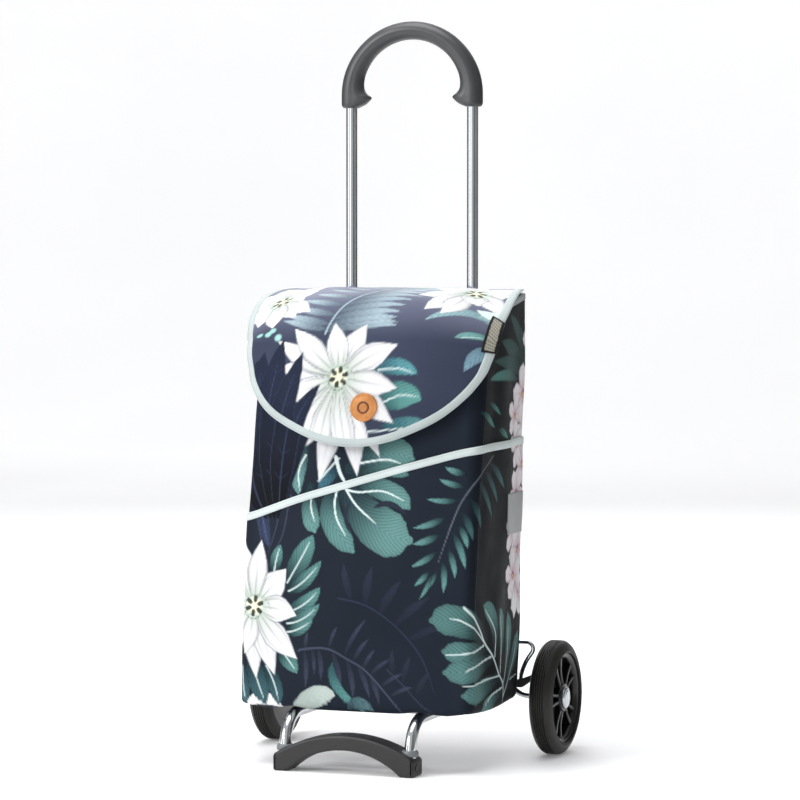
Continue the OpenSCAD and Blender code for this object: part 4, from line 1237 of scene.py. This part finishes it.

# leather badge: a plain domed disc with a grooved rim and a plain raised ring
bu, bv = 20.0, 495.4
bs = S545 - (bv - 545)
R0 = 19.5
th = np.linspace(0, 2 * np.pi, 72, endpoint=False)
prof = [(0.5, -0.2), (R0 - 0.6, -0.2), (R0, 0.5), (R0 + 0.1, 1.5), (R0 - 0.5, 2.3), (R0 - 1.6, 2.6), (R0 - 3.0, 2.45), (R0 - 3.6, 2.1), (R0 - 4.2, 2.45), (R0 - 6, 2.75), (12, 2.9), (8, 3.0), (4, 3.05), (0.5, 3.1)]
secs = []
for r, h in prof:
    secs.append(flap_at(bu + r * np.cos(th), bs - r * np.sin(th), np.full(72, (h + 0.1) * FSIGN)))
badge = loops("badge_disc", np.stack(secs, 0), ["leather"], "flap")
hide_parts("badge")
# pressed design: a plain ring, no mark of any maker
rr = np.linspace(0, 2 * np.pi, 40, endpoint=False)
ringc = np.stack([bu - 2 + 7.2 * np.cos(th), bs + 1.5 - 7.2 * np.sin(th)], -1)
secs = []
for k in range(10):
    t = 2 * math.pi * k / 10
    rad = 7.2 + 1.5 * math.cos(t)
    secs.append(flap_at(bu + rad * np.cos(th), bs - rad * np.sin(th), np.full(72, (3.1 + 0.7 * math.sin(t)) * FSIGN)))
P = np.stack(secs, 0)
P = np.transpose(P, (1, 0, 2))
ob = loops("badge_ring", P, ["stud"], "flap", closed_path=True)

# ---------------------------------------------------------------- grip
RG = TX                      # the arch's centre line
CZ = GHI.z * 1000 - 13.2 - RG
GZ0 = GLO.z * 1000
s_leg = CZ - GZ0
L_arc = math.pi * RG
# inner reach below the arch: the turned-in end of each leg
hz = [0, 4, 8, 12, 14.6, 17, 19.5, 24.5, 30, 37, 50, 90]
hi_ = [9.5, 19.0, 24.5, 28.4, 29.8, 27.2, 24.0, 19.8, 17.3, 15.8, 14.2, 13.0]
sg = np.concatenate([np.linspace(0, 60, 41)[:-1], np.linspace(60, (2 * s_leg + L_arc) / 2, 40)])
sg = np.concatenate([sg, (2 * s_leg + L_arc) - sg[:-1][::-1]])
tot = 2 * s_leg + L_arc
secs = []
nn = 56
ang = np.linspace(0, 2 * np.pi, nn, endpoint=False)
for s in sg:
    if s < s_leg:
        c = np.array([-RG, GZ0 + s]); out = np.array([-1.0, 0.0])
    elif s > tot - s_leg:
        c = np.array([RG, GZ0 + tot - s]); out = np.array([1.0, 0.0])
    else:
        t = (s - s_leg) / RG
        out = np.array([-math.cos(t), math.sin(t)])
        c = np.array([0, CZ]) + RG * out
    e = min(s, tot - s)
    ri = float(np.interp(e, hz, hi_))
    ro = float(np.interp(e, [0, 2, 5, 40, 90], [11.5, 13.6, 14.5, 14.5, 13.2]))
    dy = float(np.interp(e, [0, 2, 5, 30, 90], [11.0, 13.4, 14.4, 14.4, 14.4]))
    ca, sa = np.cos(ang), np.sin(ang)
    rad = np.where(ca > 0, ro, ri) * ca
    pw = np.where(ca > 0, 1.0, 0.86)
    yv = dy * np.sign(sa) * np.abs(sa) ** pw
    # a soft step between the outer shell and the raised inner pad
    step = 1 - 0.035 * np.exp(-((np.abs(ang - np.pi) - 1.35) / 0.09) ** 2) + 0.012 * (np.abs(ang - np.pi) < 1.3)
    rad, yv = rad * step, yv * step
    secs.append(np.stack([c[0] + out[0] * rad, TY + yv, c[1] + out[1] * rad], -1))
grip = loops("grip_arch", np.array(secs), ["grip"], "frame")
soften(grip, 1.2, 3, 50)
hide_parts("grip")

# ---------------------------------------------------------------- foot
fw = (FHI.x - FLO.x) * 500
fh = FHI.z * 1000 - 3.6
fd = (FHI.y - FLO.y) * 500
top_r = (fw ** 2 + (fh - 22.5) ** 2) / (2 * (fh - 22.5))
gap = 32.0
gap_r = ((fw - 20) ** 2 + gap ** 2) / (2 * gap)
bm = bmesh.new()
xs = np.unique(np.concatenate([np.linspace(-fw, fw, 73), [-(fw - 20), fw - 20]]))
cols = []
for xv in xs:
    zt = fh - top_r + math.sqrt(max(top_r ** 2 - xv ** 2, 0))
    zb = gap - gap_r + math.sqrt(max(gap_r ** 2 - xv ** 2, 0)) if abs(xv) < fw - 20 else 0.0
    zb = max(zb, 0.0)
    col = []
    for yv in (-fd, fd):
        col.append([bm.verts.new((xv / 1000, (FY + yv) / 1000, z_ / 1000)) for z_ in (zb, zt)])
    cols.append(col)
for a, b_ in zip(cols[:-1], cols[1:]):
    bm.faces.new((a[0][0], b_[0][0], b_[0][1], a[0][1]))
    bm.faces.new((a[1][0], a[1][1], b_[1][1], b_[1][0]))
    bm.faces.new((a[0][1], b_[0][1], b_[1][1], a[1][1]))
    bm.faces.new((a[0][0], a[1][0], b_[1][0], b_[0][0]))
for c in (cols[0], cols[-1]):
    bm.faces.new((c[0][0], c[0][1], c[1][1], c[1][0]))
bmesh.ops.recalc_face_normals(bm, faces=bm.faces)
for fc in bm.faces:
    fc.smooth = True
for e in bm.edges:
    if len(e.link_faces) == 2 and e.calc_face_angle(0) > math.radians(35):
        e.smooth = False
me = bpy.data.meshes.new("foot_arch")
bm.to_mesh(me)
bm.free()
foot = link("foot_arch", me, ["black"])
soften(foot, 3.4, 4, 40).modifiers["edge"].use_clamp_overlap = False
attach(foot, "frame")
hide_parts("foot")
for s in (-1, 1):
    pr = [(26.5, 8.1), (26.5, 11.2), (28.5, 11.6), (32.0, 11.5), (34.0, 10.9), (35.0, 9.9), (35.0, 8.1)]
    lathe_obj("foot_collar_" + ("left" if s < 0 else "right"), pr, ["grey"], "frame", 48, "z", (s * TX, FY, 0))
    # recess plug on the end face
    e = lathe([(0, 0.4), (0, 6.5), (0.6, 6.9), (0.9, 6.2), (0.5, 5.2), (0.4, 0.4)], 40, "x", (0, 0, 0), s)
    e = e * np.array([1, 1.5, 0.9]) + np.array([s * (fw + 0.05), FY, 11.5])
    loops("foot_plug_" + ("left" if s < 0 else "right"), e, ["black"], "frame")

# ---------------------------------------------------------------- wheels
for s, nm in ((1, "right"), (-1, "left")):
    body = "wheel_" + nm
    x0, x1, R, ri = 193.6, 228.6, 80.0, 63.0
    # tyre: rounded shoulders and fine grooves round the tread
    pr = [(x0 + 1.2, ri)]
    pr += [(x0, ri + 2.0), (x0 + 0.2, R - 13.5)]
    half_ = (x1 - x0) / 2
    crown = lambda x: R - 13.0 * abs((x - x0 - half_) / half_) ** 4.2
    for x in np.linspace(x0 + 0.5, x0 + 9.5, 7):
        pr.append((x, crown(x)))
    for g in np.linspace(x0 + 11.0, x1 - 11.0, 5):
        pr += [(g - 1.3, crown(g)), (g - 0.7, crown(g) - 1.6), (g + 0.7, crown(g) - 1.6), (g + 1.3, crown(g))]
    for x in np.linspace(x1 - 9.5, x1 - 0.5, 7):
        pr.append((x, crown(x)))
    pr += [(x1 - 0.1, R - 13.3), (x1 - 0.9, R - 14.2), (x1, R - 15.2), (x1, ri + 2.0), (x1 - 1.2, ri)]
    ob = lathe_obj("tyre_ring_" + nm, pr, ["tyre"], body, 128, "x", (0, AY, AZ), s)
    smooth_by_angle(ob, 40)
    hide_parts("tyre_" + nm)
    # rim: outer ring with a rolled lip, hub, twin spokes
    xr = 211.15
    parts = []
    ring_pr = [(xr - 13, 55.6), (xr - 13, 62.8), (xr + 12.6, 62.8), (xr + 13.9, 61.8), (xr + 14.0, 60.3), (xr + 13.0, 58.8), (xr + 12.2, 57.0), (xr + 11.0, 55.8), (xr + 6, 54.6), (xr - 4, 54.6)]
    ob = lathe_obj("rim_ring_" + nm, ring_pr, ["rim"], body, 112, "x", (0, AY, AZ), s)
    smooth_by_angle(ob, 40)
    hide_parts("rim_" + nm)
    hub_pr = [(xr - 19.5, 8.3), (xr - 19.5, 12.6), (xr - 18.7, 13.5), (xr + 5, 13.5), (xr + 7.7, 16.5), (xr + 9.0, 20), (xr + 12.2, 20), (xr + 13.6, 19), (xr + 13.8, 16), (xr + 13.8, 8.3)]
    ob = lathe_obj("rim_hub_" + nm, hub_pr, ["rim"], body, 64, "x", (0, AY, AZ), s)
    smooth_by_angle(ob, 40)
    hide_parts("rim_" + nm)
    web_pr = [(xr - 10.5, 12.8), (xr - 12.6, 20), (xr - 12.2, 40), (xr - 10.6, 55.9), (xr - 8.6, 55.9), (xr - 10.2, 40), (xr - 10.6, 20), (xr - 8.5, 12.8)]
    ob = lathe_obj("rim_web_" + nm, web_pr, ["rim"], body, 96, "x", (0, AY, AZ), s)
    smooth_by_angle(ob, 40)
    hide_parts("rim_" + nm)
    bm = bmesh.new()
    for i in range(5):
        for k in (-1, 1):
            a0 = math.radians(i * 72 + 36)
            secs = []
            for t in np.linspace(0, 1, 9):
                r = 15.5 + t * 41.5
                lat = k * (4.2 + 7.6 * t ** 1.4)
                wd = 3.3 - 0.9 * math.sin(math.pi * t)
                xf = xr + 12.4 - 1.8 * math.sin(math.pi * t) - 1.4 * t
                xbk = xr + 4.6
                sec = []
                for (dx, dl) in ((xbk, -wd), (xbk, wd), (xf - 1.2, wd), (xf, wd - 1.1), (xf, -wd + 1.1), (xf - 1.2, -wd)):
                    l_ = lat + dl
                    yv = r * math.cos(a0) - l_ * math.sin(a0)
                    zv = r * math.sin(a0) + l_ * math.cos(a0)
                    sec.append(bm.verts.new((s * dx / 1000, (AY + yv) / 1000, (AZ + zv) / 1000)))
                secs.append(sec)
            for p0, p1 in zip(secs[:-1], secs[1:]):
                for j in range(6):
                    bm.faces.new((p0[j], p1[j], p1[(j + 1) % 6], p0[(j + 1) % 6]))
            bm.faces.new(secs[0])
            bm.faces.new(secs[-1][::-1])
    bmesh.ops.recalc_face_normals(bm, faces=bm.faces)
    me = bpy.data.meshes.new("rim_spokes_" + nm)
    bm.to_mesh(me)
    bm.free()
    ob = link("rim_spokes_" + nm, me, ["rim"])
    smooth_by_angle(ob, 35)
    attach(ob, body)
    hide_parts("rim_" + nm)
    # hub cap
    clo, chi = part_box("cap_right")
    cx0, cx1 = clo.x * 1000, chi.x * 1000
    pr = [(cx0, 0.5), (cx0, 15.3), (cx0 + 0.8, 15.6), (cx0 + 2.0, 15.3), (cx0 + 3.0, 14.0), (cx0 + 3.6, 12.2), (cx0 + 3.5, 11.4), (cx0 + 3.8, 10.6), (cx1 - 0.1, 7.5), (cx1 - 0.02, 4), (cx1, 0.5)]
    P = lathe(pr, 56, "x", (0, AY, AZ), s)
    ob = loops("cap_dome_" + nm, P, ["cap"], body)
    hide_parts("cap_" + nm)

# ---------------------------------------------------------------- CAD nodes that keep their shape
for names, mat in (
    (["upright_left", "upright_right", "base_tube_left", "base_tube_right", "axle_bow", "axle_left", "axle_right", "upper_bow", "cross_rod", "base_cross_front", "base_cross_rear"], "chrome"),
    (["grip_screws", "foot_screws", "axle_washers", "push_nuts"], "zinc"),
    (["axle_clamp_left", "axle_clamp_right", "bag_hooks"], "black"),
    (["bushes_left", "bushes_right"], "bush"),
):
    for n in names:
        o = nodes[n]
        if not o.material_slots:
            continue
        for slot in o.material_slots:
            slot.material = M[mat]
for n in ("axle_clamp_left", "axle_clamp_right", "bag_hooks"):
    soften(nodes[n], 0.8, 2, 40)

# ---------------------------------------------------------------- soft pieces: cut sizes worked out, not kept
def cut_size(ob, m, n):
    """The widest and longest run over the sheet's outer face, and its area, in metres."""
    co = np.empty(len(ob.data.vertices) * 3)
    ob.data.vertices.foreach_get("co", co)
    P = co.reshape(-1, 3)[:m * n].reshape(m, n, 3)
    w = np.linalg.norm(np.diff(P, axis=0), axis=2).sum(0).max()
    l = np.linalg.norm(np.diff(P, axis=1), axis=2).sum(1).max()
    A_ = np.linalg.norm(np.cross(P[1:, :-1] - P[:-1, :-1], P[:-1, 1:] - P[:-1, :-1]), axis=2).sum()
    return float(w), float(l), float(A_)


def declare(ob):
    m, n = SHAPE[ob.name]
    w, l, a = cut_size(ob, m, n)
    w, l = math.ceil(w * 1000) / 1000, math.ceil(l * 1000) / 1000


declare(bag_front)
for ob in SIDE.values():
    declare(ob)
declare(bag_back)
declare(bag_floor)
for ob in pocket_parts:
    declare(ob)
declare(patch)
declare(flap)

# ---------------------------------------------------------------- floor and light
floor = bpy.data.meshes.new("floor")
bm = bmesh.new()
prof = [(-30.0, 0.0), (6.0, 0.0)]
for k in range(1, 13):
    t = k / 12 * math.pi / 2
    prof.append((6.0 + 3.0 * math.sin(t), 3.0 - 3.0 * math.cos(t)))
prof.append((9.0, 9.0))
rowsv = [[bm.verts.new((x_, y_, z_)) for x_ in (-40, 40)] for y_, z_ in prof]
for a, b_ in zip(rowsv[:-1], rowsv[1:]):
    bm.faces.new((a[0], a[1], b_[1], b_[0]))
for fc in bm.faces:
    fc.smooth = True
bm.to_mesh(floor)
bm.free()
k = Nodes("studio_floor")
k.link(k.ramp(k.noise(1.2, 3), np.array([0.87, 0.87, 0.875]), np.array([0.9, 0.9, 0.9])), k.b.inputs["Base Color"])
k.set(Roughness=0.85, Specular_IOR_Level=0.2)
geo = k.add("TexCoord")
sep = k.add("SeparateXYZ")
k.link(geo.outputs["Object"], sep.inputs[0])
glow = k.math("ADD", k.range(sep.outputs[1], 0.0, 0.34, -3.0, 6.0), k.range(sep.outputs[2], 0.0, 0.12, 0.0, 4.0))
k.b.inputs["Emission Color"].default_value = (1, 1, 1, 1)
k.link(glow, k.b.inputs["Emission Strength"])
fl = bpy.data.objects.new("studio_floor", floor)
fl.data.materials.append(k.m)
bpy.context.scene.collection.objects.link(fl)


def card(name, x, y0, y1, z1, tone):
    """A dark studio card at the side: it gives the bright metal its dark edges."""
    me = bpy.data.meshes.new(name)
    me.from_pydata([(x, y0, 0.02), (x, y1, 0.02), (x, y1, z1), (x, y0, z1)], [], [(0, 1, 2, 3)])
    ob = bpy.data.objects.new(name, me)
    kk = Nodes(name)
    kk.link(kk.ramp(kk.noise(2, 2), np.full(3, tone), np.full(3, tone * 1.4)), kk.b.inputs["Base Color"])
    me.materials.append(kk.m)
    bpy.context.scene.collection.objects.link(ob)
    ob.visible_camera = False
    return ob


card("studio_card_right", 1.7, 1.0, 8.0, 3.0, 0.02)
front = card("studio_card_right_front", 1.72, -2.3, -0.3, 3.0, 0.07)
front.visible_diffuse = False
front.visible_shadow = False
card("studio_card_right_mid", 1.7, -0.35, 1.0, 3.0, 0.13)
card("studio_card_left", -2.7, 0.0, 3.2, 2.6, 0.03)

world = bpy.data.worlds.new("studio")
bpy.context.scene.world = world
world.use_nodes = True
bg = world.node_tree.nodes["Background"]
bg.inputs[0].default_value = (0.97, 0.98, 1.0, 1)
bg.inputs[1].default_value = 0.6


def area(name, loc, aim_, size, power, col=(1, 1, 1)):
    d = bpy.data.lights.new(name, "AREA")
    d.shape = "RECTANGLE"
    d.size, d.size_y = size
    d.energy = power
    d.color = col
    o = bpy.data.objects.new(name, d)
    bpy.context.scene.collection.objects.link(o)
    o.location = loc
    o.rotation_euler = (Vector(aim_) - Vector(loc)).to_track_quat("-Z", "Y").to_euler()
    o.visible_camera = False
    return o


area("key", (-2.3, -3.0, 2.2), (0, 0, 0.5), (1.6, 1.6), 84)
area("top", (-0.4, -0.5, 3.2), (0, 0, 0.5), (2.0, 2.0), 66)
area("back", (-1.2, 3.0, 2.4), (0, 0, 0.5), (2.0, 2.0), 50)
area("strip", (-2.3, -1.7, 0.8), (0, 0, 0.7), (0.32, 1.9), 7)
soft = area("softbox", (-1.1, -4.4, 0.9), (0, 0, 0.7), (2.0, 2.4), 17)
soft.visible_diffuse = False
bpy.context.scene.view_settings.view_transform = "Standard"
bpy.context.scene.view_settings.look = "None"
